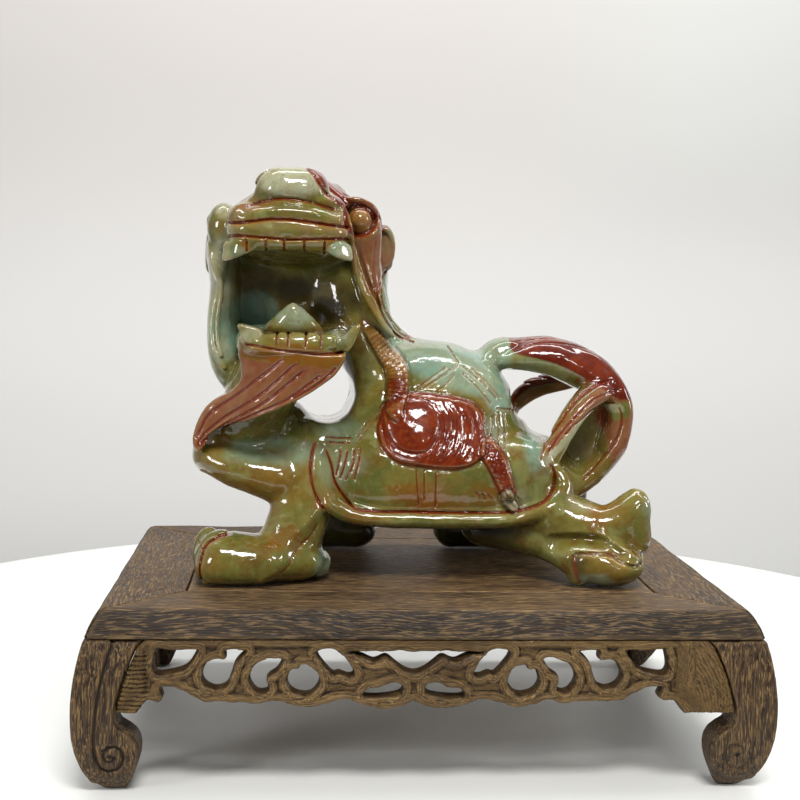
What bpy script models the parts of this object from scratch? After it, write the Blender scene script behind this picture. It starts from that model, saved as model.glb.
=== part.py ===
"""Carved jade dragon turtle on its hardwood display stand.

Origin: bottom centre of the stand, on the table. +X is the stand's length
(the tail end), +Y its depth (the far side), +Z is up.
All sizes below are in millimetres and are turned into metres at the end.
"""
import bpy
import bmesh
import math
from mathutils import Vector, Matrix

MM = 0.001

# ------------------------------------------------------------------ sizes
TOP_L = 220.0          # stand top, length in X
TOP_D = 150.0          # stand top, depth in Y
STAND_H = 62.0         # stand height
RAIL_T = 9.2           # thickness of the top frame
RAIL_W = 26.0          # width of the mitred rails on top
PANEL_T = 8.0          # thickness of the floating panel
GAP = 0.3              # clearance between neighbouring pieces
APRON_T = 6.5          # apron thickness
APRON_PATTERN_X = -5.5 # the carved pattern sits a little off centre
LEG_UNDER = STAND_H - RAIL_T - GAP   # top of legs and aprons

# outward bulge of frame, aprons and legs: (depth under the top, offset out)
BULGE = [(0.0, 0.0), (1.4, 1.1), (3.1, 2.2), (6.0, 3.7), (9.2, 4.9),
         (14.3, 6.3), (18.2, 7.1), (22.1, 7.8), (26.1, 8.3), (30.1, 8.6),
         (34.2, 8.7), (38.3, 8.6), (42.5, 8.3), (46.9, 7.5), (49.2, 6.9),
         (51.5, 6.2), (54.0, 5.1), (56.7, 3.5), (59.6, 1.2)]

# inner edge of a leg, as distance outwards from the top's edge line
LEG_INNER = [(-15.4, 9.5), (-12.7, 12.0), (-9.5, 19.6), (-7.7, 25.2),
             (-6.2, 31.0), (-5.9, 34.0), (-6.2, 36.5), (-7.6, 38.4),
             (-10.6, 39.6), (-12.8, 41.6), (-13.5, 44.4), (-13.2, 47.4),
             (-12.0, 50.6), (-10.0, 54.0), (-8.2, 56.8), (-6.6, 59.4)]

# legs are two carved faces meeting at the corner: hollow behind this far
# in from the top's edge, up to this height
LEG_HOLLOW = 5.0
LEG_HOLLOW_TOP = 44.0


def bulge_at(depth):
    """Offset outwards of the stand's faces at a depth under the top."""
    for (d0, o0), (d1, o1) in zip(BULGE, BULGE[1:]):
        if depth <= d1:
            return o0 + (o1 - o0) * (depth - d0) / (d1 - d0)
    return BULGE[-1][1]


# ------------------------------------------------------------------ scene
for ob in list(bpy.data.objects):
    bpy.data.objects.remove(ob, do_unlink=True)
for col in list(bpy.data.collections):
    bpy.data.collections.remove(col)

PARTS = bpy.data.collections.new("jade_turtle_carving")
bpy.context.scene.collection.children.link(PARTS)
WORK = bpy.data.collections.new("working_shapes")
bpy.context.scene.collection.children.link(WORK)


def material(name, colour, rough):
    m = bpy.data.materials.new(name)
    m.use_nodes = True
    b = m.node_tree.nodes["Principled BSDF"]
    b.inputs["Base Color"].default_value = (*colour, 1.0)
    b.inputs["Roughness"].default_value = rough
    return m


def drop(ob):
    data = ob.data
    bpy.data.objects.remove(ob, do_unlink=True)
    if isinstance(data, bpy.types.Mesh) and data.users == 0:
        bpy.data.meshes.remove(data)


def baked(ob, name):
    """A plain mesh object holding ob's shape with its modifiers applied."""
    bpy.context.view_layer.update()
    dg = bpy.context.evaluated_depsgraph_get()
    me = bpy.data.meshes.new_from_object(ob.evaluated_get(dg), depsgraph=dg)
    me.transform(ob.matrix_world)
    me.name = name
    out = bpy.data.objects.new(name, me)
    WORK.objects.link(out)
    drop(ob)
    return out


def tidy(me, merge=1e-5):
    bm = bmesh.new()
    bm.from_mesh(me)
    bmesh.ops.remove_doubles(bm, verts=bm.verts, dist=merge)
    bmesh.ops.recalc_face_normals(bm, faces=bm.faces)
    bm.to_mesh(me)
    bm.free()


def outline_solid(name, outlines, thickness, matrix):
    """Closed outlines (the first outside, the rest holes) cut from a board."""
    cu = bpy.data.curves.new(name, "CURVE")
    cu.dimensions = "2D"
    cu.fill_mode = "BOTH"
    cu.extrude = thickness * 0.5 * MM
    cu.render_resolution_u = 0
    for pts in outlines:
        sp = cu.splines.new("POLY")
        sp.points.add(len(pts) - 1)
        for p, (x, y) in zip(sp.points, pts):
            p.co = (x * MM, y * MM, 0.0, 1.0)
        sp.use_cyclic_u = True
    ob = bpy.data.objects.new(name, cu)
    WORK.objects.link(ob)
    ob.matrix_world = matrix
    out = baked(ob, name)
    tidy(out.data)
    return out


def boolean(a, b, op):
    """Exact Boolean of two closed solids; b is used up."""
    mod = a.modifiers.new("cut", "BOOLEAN")
    mod.solver = "EXACT"
    mod.operation = op
    mod.object = b
    name = a.name
    a.name = name + "_before"
    out = baked(a, name)
    drop(b)
    return out


# plane frames: outline (u, v) laid in the XZ plane, facing -Y, or in the YZ plane
FACE_FRONT = Matrix(((1, 0, 0, 0), (0, 0, -1, 0), (0, 1, 0, 0), (0, 0, 0, 1)))
FACE_SIDE = Matrix(((0, 0, 1, 0), (1, 0, 0, 0), (0, 1, 0, 0), (0, 0, 0, 1)))


def shift(x=0.0, y=0.0, z=0.0):
    return Matrix.Translation((x * MM, y * MM, z * MM))


NODES = []


def finish(ob, name, mat):
    """Give a finished solid its name, material and place in the collection."""
    me = ob.data
    bm = bmesh.new()
    bm.from_mesh(me)
    bmesh.ops.dissolve_degenerate(bm, edges=bm.edges, dist=1e-6)
    bmesh.ops.triangulate(bm, faces=bm.faces)
    bmesh.ops.recalc_face_normals(bm, faces=bm.faces)
    bm.to_mesh(me)
    bm.free()
    ob.name = name
    me.name = name
    me.materials.clear()
    me.materials.append(mat)
    for c in list(ob.users_collection):
        c.objects.unlink(ob)
    PARTS.objects.link(ob)
    NODES.append(ob)
    return ob


def cut_keep(ob, point, normal):
    """Cut a solid with a plane, keep the side the normal points away from."""
    bm = bmesh.new()
    bm.from_mesh(ob.data)
    geom = bm.verts[:] + bm.edges[:] + bm.faces[:]
    res = bmesh.ops.bisect_plane(bm, geom=geom, dist=1e-7,
                                 plane_co=Vector(point) * MM,
                                 plane_no=Vector(normal), clear_outer=True)
    edges = [e for e in res["geom_cut"] if isinstance(e, bmesh.types.BMEdge)]
    bmesh.ops.holes_fill(bm, edges=edges, sides=0)
    bmesh.ops.recalc_face_normals(bm, faces=bm.faces)
    bm.to_mesh(ob.data)
    bm.free()


# ------------------------------------------------------------------ stand top
RAIL_FACE = [b for b in BULGE if b[0] <= RAIL_T + 0.01]


def rail(name, half_len, half_dep, side, mat):
    """One mitred rail. side is a turn about Z in quarter turns from the front."""
    # section in (outward, up); the outer face leans outwards as it goes down
    pts = [(half_dep + o, STAND_H - d) for d, o in RAIL_FACE]
    pts[0] = (half_dep - 0.5, STAND_H)
    pts.insert(1, (half_dep + 0.1, STAND_H - 0.5))
    inner = half_dep - RAIL_W
    pts += [(inner, STAND_H - RAIL_T), (inner, STAND_H)]
    m = FACE_SIDE
    ob = outline_solid(name, [pts], 2 * (half_len + 12), m)
    # outward is +Y here: mitres at both ends
    s = math.sqrt(0.5)
    off = half_len - half_dep
    g = GAP * 0.5
    cut_keep(ob, (off - g * 1.414, 0, 0), (s, -s, 0))
    cut_keep(ob, (-off + g * 1.414, 0, 0), (-s, -s, 0))
    ob.data.transform(Matrix.Rotation(math.pi + side * math.pi / 2, 4, "Z"))
    return finish(ob, name, mat)


def stand_top():
    for name, hl, hd, side in (("stand_rail_front", TOP_L / 2, TOP_D / 2, 0),
                               ("stand_rail_right", TOP_D / 2, TOP_L / 2, 1),
                               ("stand_rail_back", TOP_L / 2, TOP_D / 2, 2),
                               ("stand_rail_left", TOP_D / 2, TOP_L / 2, 3)):
        rail(name, hl, hd, side, material(name, (0.13, 0.085, 0.055), 0.5))
    bm = bmesh.new()
    bmesh.ops.create_cube(bm, size=1.0)
    me = bpy.data.meshes.new("stand_panel")
    bm.to_mesh(me)
    bm.free()
    sx = TOP_L - 2 * RAIL_W - 2 * GAP
    sy = TOP_D - 2 * RAIL_W - 2 * GAP
    me.transform(Matrix.Diagonal((sx * MM, sy * MM, PANEL_T * MM, 1)))
    me.transform(shift(z=STAND_H - PANEL_T / 2))
    ob = bpy.data.objects.new("stand_panel", me)
    WORK.objects.link(ob)
    finish(ob, "stand_panel", material("stand_panel", (0.15, 0.1, 0.065), 0.5))


# ------------------------------------------------------------------ legs
def leg_outline(edge):
    """Leg seen square on: outer bulge, flat foot, scroll and seam edge."""
    outer = [(edge + o, STAND_H - d) for d, o in BULGE if d > RAIL_T + 0.5]
    outer.insert(0, (edge + bulge_at(RAIL_T + GAP), LEG_UNDER))
    outer += [(edge + 0.4, 1.4), (edge - 1.0, 0.0), (edge - 5.4, 0.0)]
    inner = [(edge + o, STAND_H - d) for o, d in reversed(LEG_INNER)]
    return outer + inner


def leg(name, sx, sy, mat):
    a = outline_solid(name, [[(sx * u, v) for u, v in leg_outline(TOP_L / 2)]],
                      60.0, shift(y=sy * TOP_D / 2) @ FACE_FRONT)
    b = outline_solid(name + "_side",
                      [[(sy * u, v) for u, v in leg_outline(TOP_D / 2)]],
                      60.0, shift(x=sx * TOP_L / 2) @ FACE_SIDE)
    ob = boolean(a, b, "INTERSECT")
    x0, x1 = sorted((sx * 60.0, sx * (TOP_L / 2 - LEG_HOLLOW)))
    y0, y1 = sorted((sy * 20.0, sy * (TOP_D / 2 - LEG_HOLLOW)))
    hollow = outline_solid(name + "_hollow",
                           [[(x0, y0), (x1, y0), (x1, y1), (x0, y1)]],
                           LEG_HOLLOW_TOP * 2, Matrix.Identity(4))
    ob = boolean(ob, hollow, "DIFFERENCE")
    return finish(ob, name, mat)


def legs():
    for yn, sy in (("front", -1), ("back", 1)):
        for xn, sx in (("left", -1), ("right", 1)):
            name = "stand_leg_%s_%s" % (yn, xn)
            leg(name, sx, sy, material(name, (0.12, 0.075, 0.045), 0.5))


# ------------------------------------------------------------------ aprons
def circle(cx, cz, rx, rz, n=10, turn=0.0):
    return [(cx + rx * math.cos(turn + 2 * math.pi * i / n),
             cz + rz * math.sin(turn + 2 * math.pi * i / n)) for i in range(n)]


# pierced pattern, right half, (distance from the pattern's centre, depth)
SLOT_END = [(86.2, 17.0), (85.2, 12.8), (83.0, 12.0), (73.0, 12.0),
            (72.5, 13.7), (75.0, 17.7), (78.5, 19.4), (84.5, 20.4), (86.0, 19.1)]
COMMA = [(70.0, 19.5), (68.6, 17.2), (65.8, 16.0), (63.0, 16.4), (62.4, 15.0),
         (62.5, 12.0), (57.0, 12.2), (56.2, 13.4), (59.4, 16.6), (60.8, 20.6),
         (62.2, 23.9), (65.5, 25.2), (68.8, 23.9), (70.2, 21.6)]
CRESCENT = [(44.3, 15.7), (50.6, 16.4), (53.9, 19.4), (54.5, 22.8),
            (51.9, 26.2), (48.6, 25.8), (49.2, 22.6), (48.4, 21.0),
            (45.9, 19.4), (44.6, 17.4)]
ROUND_HOLE = [(40.8, 19.2), (38.6, 19.6), (37.6, 17.8), (34.6, 18.4),
              (32.0, 21.0), (31.9, 23.8), (34.0, 26.6), (37.0, 27.2),
              (40.4, 26.0), (42.2, 23.0)]
SLANT = [(32.6, 12.4), (25.7, 12.4), (20.4, 19.6), (21.7, 21.2),
         (25.3, 20.0), (27.4, 20.2)]
LOWER_SLOT = [(16.6, 27.8), (15.8, 26.0), (11.4, 24.9), (6.4, 23.6),
              (4.0, 24.4), (4.2, 26.4), (6.6, 27.4), (11.4, 28.0)]
CENTRE_HOLE = [(0.0, 20.0), (3.4, 19.0), (7.0, 16.4), (9.6, 14.8),
               (13.4, 16.2), (17.0, 14.8), (20.0, 13.8), (20.0, 12.4)]
LOWER_EDGE = [(0.0, 29.7), (2.4, 30.8), (8.1, 32.1), (14.7, 31.8),
              (20.7, 29.5), (25.3, 29.4), (29.3, 30.4), (34.3, 31.8),
              (39.6, 31.3), (44.9, 29.6), (50.9, 30.3), (59.5, 30.0),
              (67.0, 29.8), (71.1, 29.2), (78.8, 25.2), (83.8, 25.0),
              (82.9, 28.0), (84.6, 29.6), (88.4, 29.7), (91.7, 33.7)]


def both_ways(shape):
    """A symmetric outline from its right half, left end first."""
    return [(-u, d) for u, d in reversed(shape) if u > 0.0] + list(shape)


def seam_at(depth):
    """Edge of the leg where an apron meets it, from the top's edge line."""
    pts = LEG_INNER[:6]
    if depth <= pts[0][1]:
        return pts[0][0]
    for (o0, d0), (o1, d1) in zip(pts, pts[1:]):
        if depth <= d1:
            return o0 + (o1 - o0) * (depth - d0) / (d1 - d0)
    return pts[-1][0]


def squeeze(shape, k):
    """The same ornament drawn closer together for the short sides."""
    return [(u * k, d) for u, d in shape]


def apron(name, half, side, short, mat):
    """Apron for the front (side 0) and, turned, for the other faces."""
    if short:
        holes = [squeeze(s, 0.62) for s in
                 (SLOT_END, COMMA, CRESCENT, ROUND_HOLE, LOWER_SLOT)]
        centre = squeeze(CENTRE_HOLE, 0.56)
        low = squeeze(LOWER_EDGE, 0.62)
        px = 0.0
    else:
        holes = [SLOT_END, COMMA, CRESCENT, ROUND_HOLE, SLANT, LOWER_SLOT]
        centre = CENTRE_HOLE
        low = LOWER_EDGE
        px = APRON_PATTERN_X
    top = RAIL_T + GAP
    end_depth = 33.8
    steps = [top, 19.0, 26.0, end_depth]
    right = [(half + seam_at(d) - GAP, d) for d in steps]
    edge = [(px + u, d) for u, d in both_ways(low)]
    outer = ([(-u, d) for u, d in right] + edge
             + [(u, d) for u, d in reversed(right)])
    outlines = [outer, [(px + u, d) for u, d in both_ways(centre)]]
    for h in holes:
        outlines.append([(px + u, d) for u, d in h])
        outlines.append([(px - u, d) for u, d in h])
    outlines = [[(u, STAND_H - d) for u, d in o] for o in outlines]
    depth_edge = TOP_L / 2 if short else TOP_D / 2
    a = outline_solid(name, outlines, 40.0,
                      shift(y=-depth_edge) @ FACE_FRONT)
    # the bulging board that the pattern is cut through, as a side profile
    ds = [top - 2.0, 14.0, 19.0, 25.0, 36.0]
    prof = [(-(depth_edge + bulge_at(max(d, top)) - 0.4), STAND_H - d) for d in ds]
    prof += [(y + APRON_T, z) for y, z in reversed(prof)]
    b = outline_solid(name + "_board", [prof], 2 * half + 40.0, FACE_SIDE)
    ob = boolean(a, b, "INTERSECT")
    ob.data.transform(Matrix.Rotation(side * math.pi / 2, 4, "Z"))
    return finish(ob, name, mat)


def aprons():
    for name, half, side, short in (
            ("stand_apron_front", TOP_L / 2, 0, False),
            ("stand_apron_right", TOP_D / 2, 1, True),
            ("stand_apron_back", TOP_L / 2, 2, False),
            ("stand_apron_left", TOP_D / 2, 3, True)):
        apron(name, half, side, short, material(name, (0.16, 0.11, 0.065), 0.55))


# ------------------------------------------------------------------ carving
BASE = STAND_H + GAP          # underside of the feet
SET_X = -1.6                  # the carving stands a little left of centre
VOXEL = 1.2
TURTLE_FACES = 5200


def ellipsoid_points(c, r, turn=0.0, n=2.0, seg=20, rings=12):
    """Points of a (super)ellipsoid, turned about Y by turn degrees."""
    out = []
    rot = Matrix.Rotation(math.radians(turn), 3, "Y")
    for i in range(rings + 1):
        th = math.pi * i / rings
        for j in range(seg):
            ph = 2 * math.pi * j / seg
            d = Vector((math.sin(th) * math.cos(ph), math.sin(th) * math.sin(ph),
                        math.cos(th)))
            k = (abs(d.x) ** n + abs(d.y) ** n + abs(d.z) ** n) ** (1.0 / n)
            p = rot @ Vector((d.x * r[0] / k, d.y * r[1] / k, d.z * r[2] / k))
            out.append(Vector(c) + p)
    return out


BODY = bmesh.new()


def hull(points, target=None):
    """Convex hull of a cloud of points, added to the carving's rough mass."""
    bm = bmesh.new()
    vs = [bm.verts.new(((p[0] + SET_X) * MM, p[1] * MM, (p[2] + BASE) * MM))
          for p in points]
    bmesh.ops.remove_doubles(bm, verts=vs, dist=1e-6)
    res = bmesh.ops.convex_hull(bm, input=bm.verts)
    bmesh.ops.delete(bm, geom=list(set(
        v for v in res["geom_interior"] if isinstance(v, bmesh.types.BMVert))),
        context="VERTS")
    bmesh.ops.recalc_face_normals(bm, faces=bm.faces)
    me = bpy.data.meshes.new("rough")
    bm.to_mesh(me)
    bm.free()
    (BODY if target is None else target).from_mesh(me)
    bpy.data.meshes.remove(me)


def blob(c, r, turn=0.0, n=2.0, target=None):
    hull(ellipsoid_points(c, r, turn, n), target)


def shell_points():
    """Domed shell above a boat-shaped rim that turns up at both ends."""
    pts = [p for p in ellipsoid_points((4, 1, 36), (41, 39, 50), n=2.4,
                                       seg=32, rings=20) if p.z > 46]
    rim = [(-38.5, 53), (-40, 45), (-38.8, 37), (-32, 26), (-24, 22.4),
           (-14, 20.6), (8, 20.2), (30, 21.0), (43, 23.6), (52, 27.5),
           (55.0, 33), (53, 41)]
    for x, z in rim:
        w = 39.5 * (1.0 - 0.3 * (abs(x - 8) / 48.0) ** 3)
        for k in (-1.0, -0.96, 0.96, 1.0):
            pts.append(Vector((x, 1 + k * w, z + (2.5 if abs(k) == 1 else 0))))
    return pts


def chain(links, target=None):
    """Tapered limb: neighbouring ellipsoids (centre, radii, turn) hulled."""
    full = [(l[0], l[1], l[2] if len(l) > 2 else 0.0) for l in links]
    for a, b in zip(full, full[1:]):
        hull(ellipsoid_points(*a, seg=16, rings=10)
             + ellipsoid_points(*b, seg=16, rings=10), target)


def carving_mass():
    # shell and the body inside it
    hull(shell_points())
    chain([((-22, 2, 40), (18, 30, 20)), ((30, 2, 36), (26, 30, 19))])
    # breast, running out to the curl under the beard
    chain([((-22, 0, 42), (24, 26, 20)), ((-50, -8, 41), (20, 22, 13)),
           ((-69, -16, 46), (13, 15, 9.5))])
    # neck
    chain([((-18, 0, 62), (14, 24, 22)), ((-18, -4, 82), (10, 20, 14)),
           ((-26, 0, 104), (17, 18, 18))])
    # back of the head and the mane round it
    blob((-44.5, 4, 110), (33.5, 15, 28), n=2.2)
    chain([((-72, -6, 108), (8, 12, 18)), ((-72, -8, 90), (8, 10, 9)),
           ((-69, -12, 76), (7, 9, 7))])
    chain([((-18, 0, 117), (8, 10, 13)), ((-17, 2, 102), (6.5, 12, 9)),
           ((-11, 6, 92), (6, 12, 6)), ((-4, 10, 85), (7, 10, 4))])
    # skull, eyes, ears and horns
    blob((-45, -6, 128.5), (26.5, 20, 14.5))
    blob((-20.5, -27, 130), (6, 7, 6.5))
    blob((-72, -24, 127), (6.5, 8, 8.5))
    chain([((-10, -4, 121), (3, 4, 8)), ((-9, 4, 116), (3, 5, 7))])
    chain([((-78, -2, 121), (3, 4, 8)), ((-79, 6, 116), (3, 5, 7))])
    for sx in (-1, 1):
        chain([((-44 + sx * 8, -14, 141), (3.5, 5, 3.5)),
               ((-44 + sx * 10, 2, 141), (4, 5, 3.5)),
               ((-44 + sx * 13, 16, 134), (3, 4, 3))])
    # snout: nose dome and the folded upper lip
    blob((-45, -34, 138.5), (12.5, 13, 11.5))
    blob((-45, -34, 135), (17, 13, 9))
    blob((-48.5, -30, 130), (23.5, 18, 11), n=3.0)
    blob((-48.5, -36, 123), (22, 12, 6), n=3.0)
    # lower jaw, chin and the solid stone behind the beard
    blob((-46, -30, 87), (20.5, 22, 6.5), n=3.0)
    chain([((-50, -26, 80), (16, 18, 9)), ((-57, -24, 68), (13, 14, 11)),
           ((-62, -18, 56), (14, 14, 10))])
    # beard: a broad ribbon narrowing to the curl at the lower left
    chain([((-46, -46, 82), (18.5, 4, 5), 0), ((-49, -46, 75.5), (16, 4, 5), -8),
           ((-56, -44, 69.5), (12.5, 4, 6), -28), ((-65, -40, 64.5), (9, 4, 6), -40),
           ((-73, -34, 60), (5.5, 5, 6), -30), ((-78, -28, 53), (4.5, 6, 5.5), 0),
           ((-77, -24, 47), (5.5, 7, 5), 0)])
    # near front leg and its paw
    chain([((-36, -22, 40), (14, 13, 18)), ((-42, -30, 23), (9.5, 9, 11)),
           ((-47, -32, 12), (12, 10.5, 9))])
    chain([((-50, -32, 8), (13, 10.5, 8.4)), ((-70, -35, 10), (9, 9.5, 10))])
    blob((-76.5, -37, 9.5), (5, 8, 9.5))
    chain([((-48, -30, 7.5), (10, 9, 7.6)), ((-37.5, -27, 8), (7, 7.5, 8))])
    # far front leg
    chain([((-26, 20, 36), (14, 12, 16)), ((-30, 27, 20), (10, 9, 11)),
           ((-32, 29, 9), (12, 10, 9))])
    chain([((-20, 28, 7.5), (8.5, 8.5, 7.5)), ((-36, 30, 8), (10, 10, 8)),
           ((-54, 31, 9), (8, 9, 9))])
    # near hind leg
    chain([((34, -20, 27), (18, 14, 13)), ((60, -29, 21), (12, 11, 9)),
           ((71, -33, 19), (9, 8.5, 9)), ((81, -34, 27), (5.8, 7, 8)),
           ((82, -34, 19), (5.5, 7.5, 8))])
    chain([((30, -20, 17), (12, 10, 7)), ((50, -28, 14), (10, 9, 7)),
           ((66, -35, 10), (13, 9.5, 9.5)), ((71, -36, 8), (10, 9, 8))])
    # far hind leg
    chain([((34, 20, 28), (18, 14, 15)), ((58, 29, 24), (13, 11, 11)),
           ((70, 33, 23), (7, 8, 9))])
    chain([((20, 29, 8), (8, 8.5, 8)), ((36, 30, 9), (12, 10, 9)),
           ((54, 32, 10), (11, 9, 10))])
    # tail: outer strand from the top of the shell round to the rump
    chain([((28, 4, 79), (9, 11, 6)), ((40, 4, 82.5), (7, 9, 5)),
           ((52, 3, 84), (6, 9, 4.6)), ((64, 0, 81), (6, 9, 5)),
           ((74, -4, 74), (6, 10, 5.5)), ((79, -6, 62), (4.8, 10, 7)),
           ((78, -6, 49), (4.8, 10, 7)), ((70, -4, 38), (6, 10, 6)),
           ((58, -6, 32), (8, 12, 7))])
    # near strand, coming back down to the shell's edge
    chain([((77, -12, 70), (4, 5, 4)), ((67, -17, 68), (4, 4.5, 4)),
           ((59, -20, 60), (3.8, 4.5, 4)), ((53, -22, 50), (4, 5, 4)),
           ((46, -22, 39), (6, 6, 6))])
    # leaf between them
    hull([p for c in ((76, 0, 60), (73, 0, 44), (60, -2, 34), (56, 0, 46),
                      (66, 0, 64)) for p in
          ellipsoid_points(c, (3, 3, 3), seg=8, rings=5)])
    chain([((52, 0, 44), (8, 14, 8)), ((58, -2, 36), (8, 14, 7))])
    # far strand
    chain([((68, 6, 76), (5, 4.5, 4)), ((56, 13, 76), (4.5, 4.5, 4)),
           ((46, 18, 72), (4, 4.5, 4)), ((40, 19, 63), (4, 5, 4.5)),
           ((38, 18, 54), (6, 7, 6))])


def carve(mass):
    """Hollow mouth, the hole between beard and neck, and the leg gaps."""
    cut = bmesh.new()
    chain([((-47, -60, 106), (20, 10, 13.5)), ((-47, -34, 106.5), (20, 10, 13.5)),
           ((-46, -15, 105), (17, 8, 11))], cut)
    blob((-47, -46, 106), (33, 14, 13), target=cut)
    me = bpy.data.meshes.new("mouth")
    cut.to_mesh(me)
    cut.free()
    ob = bpy.data.objects.new("mouth", me)
    WORK.objects.link(ob)
    mass = boolean(mass, remeshed(ob, 1.5), "DIFFERENCE")
    hole = outline_solid("beard_hole", [circle(-33.0 + SET_X, 67.5 + BASE, 9.5, 12.0, 20)],
                         120.0, FACE_FRONT)
    mass = boolean(mass, hole, "DIFFERENCE")
    return mass


def remeshed(ob, voxel):
    mod = ob.modifiers.new("fuse", "REMESH")
    mod.mode = "VOXEL"
    mod.voxel_size = voxel * MM
    mod.adaptivity = 0.0
    name = ob.name
    ob.name = name + "_rough"
    return baked(ob, name)


def tongue_and_teeth(me_bm):
    """Tongue standing in the mouth and the two rows of teeth."""
    chain([((-46, -32, 91), (9, 10, 3)), ((-46, -34, 97), (3, 4, 4))], me_bm)
    chain([((-68, -41, 121), (3.5, 3, 3.6)), ((-48, -44, 122), (4, 3, 2.6)),
           ((-28, -41, 121), (3.5, 3, 3.6))], me_bm)
    chain([((-62, -46, 90), (3.5, 3, 3.2)), ((-46, -49, 89.5), (4, 3, 2.4)),
           ((-30, -46, 90), (3.5, 3, 3.2))], me_bm)
    # cheeks closing the corners of the mouth
    chain([((-73, -14, 122), (4.5, 8, 8)), ((-70, -14, 106), (4, 7, 8)),
           ((-70, -18, 92), (5.5, 10, 7))], me_bm)
    chain([((-20, -16, 122), (5, 8, 8)), ((-21, -12, 106), (5, 7, 8)),
           ((-22, -16, 92), (6, 9, 7))], me_bm)


def turtle():
    carving_mass()
    me = bpy.data.meshes.new("mass")
    BODY.to_mesh(me)
    BODY.free()
    ob = bpy.data.objects.new("mass", me)
    WORK.objects.link(ob)
    ob = remeshed(ob, VOXEL)
    ob = carve(ob)
    bm = bmesh.new()
    bm.from_mesh(ob.data)
    tongue_and_teeth(bm)
    bm.to_mesh(ob.data)
    bm.free()
    ob = remeshed(ob, VOXEL)
    sm = ob.modifiers.new("polish", "SMOOTH")
    sm.factor = 0.5
    sm.iterations = 6
    ob = baked(ob, "mass")
    # feet cut flat where they stand
    for v in ob.data.vertices:
        if v.co.z < (BASE + 0.25) * MM:
            v.co.z = BASE * MM
    dec = ob.modifiers.new("facets", "DECIMATE")
    dec.decimate_type = "COLLAPSE"
    tris = sum(len(p.vertices) - 2 for p in ob.data.polygons)
    dec.ratio = TURTLE_FACES / tris
    dec.use_collapse_triangulate = True
    ob = baked(ob, "jade_turtle")
    for v in ob.data.vertices:
        if v.co.z < (BASE + 0.08) * MM:
            v.co.z = BASE * MM
    finish(ob, "jade_turtle", material("jade_turtle", (0.32, 0.38, 0.24), 0.15))


stand_top()
legs()
aprons()
turtle()
for ob in list(WORK.objects):
    drop(ob)
bpy.data.collections.remove(WORK)
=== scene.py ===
"""Finished look of the carved jade dragon turtle on its hardwood stand.

The carving is sculpted as a signed distance field in millimetres, polished,
engraved, and turned into one mesh. The stand's pieces are made the same way.
Sculpting coordinates of the carving: x to the tail, y to the far side, z up
from the soles of its feet.
"""
import bpy
import math
import time
import numpy as np
from mathutils import Vector, Matrix


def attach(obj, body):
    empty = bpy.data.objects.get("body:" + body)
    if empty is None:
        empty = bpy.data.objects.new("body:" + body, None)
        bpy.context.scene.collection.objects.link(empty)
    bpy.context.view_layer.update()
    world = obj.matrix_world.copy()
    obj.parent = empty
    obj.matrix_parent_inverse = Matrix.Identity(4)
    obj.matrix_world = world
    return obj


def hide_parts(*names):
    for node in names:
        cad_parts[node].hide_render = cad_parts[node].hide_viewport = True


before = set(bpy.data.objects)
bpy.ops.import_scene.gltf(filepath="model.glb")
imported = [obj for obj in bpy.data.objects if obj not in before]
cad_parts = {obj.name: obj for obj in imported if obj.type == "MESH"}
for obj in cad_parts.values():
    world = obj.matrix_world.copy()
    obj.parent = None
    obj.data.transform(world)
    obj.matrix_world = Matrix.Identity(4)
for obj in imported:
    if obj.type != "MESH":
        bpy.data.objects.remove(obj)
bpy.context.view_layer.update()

F4 = np.float32
MM = 0.001
START = time.time()


def say(text):
    print("[%5.1f s] %s" % (time.time() - START, text), flush=True)


# --------------------------------------------------------------- sculpting
def smin(a, b, k):
    if k <= 0.0:
        return np.minimum(a, b)
    h = np.maximum(k - np.abs(a - b), 0.0) / F4(k)
    return np.minimum(a, b) - h * h * h * F4(k / 6.0)


def smax(a, b, k):
    return -smin(-a, -b, k)


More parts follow.
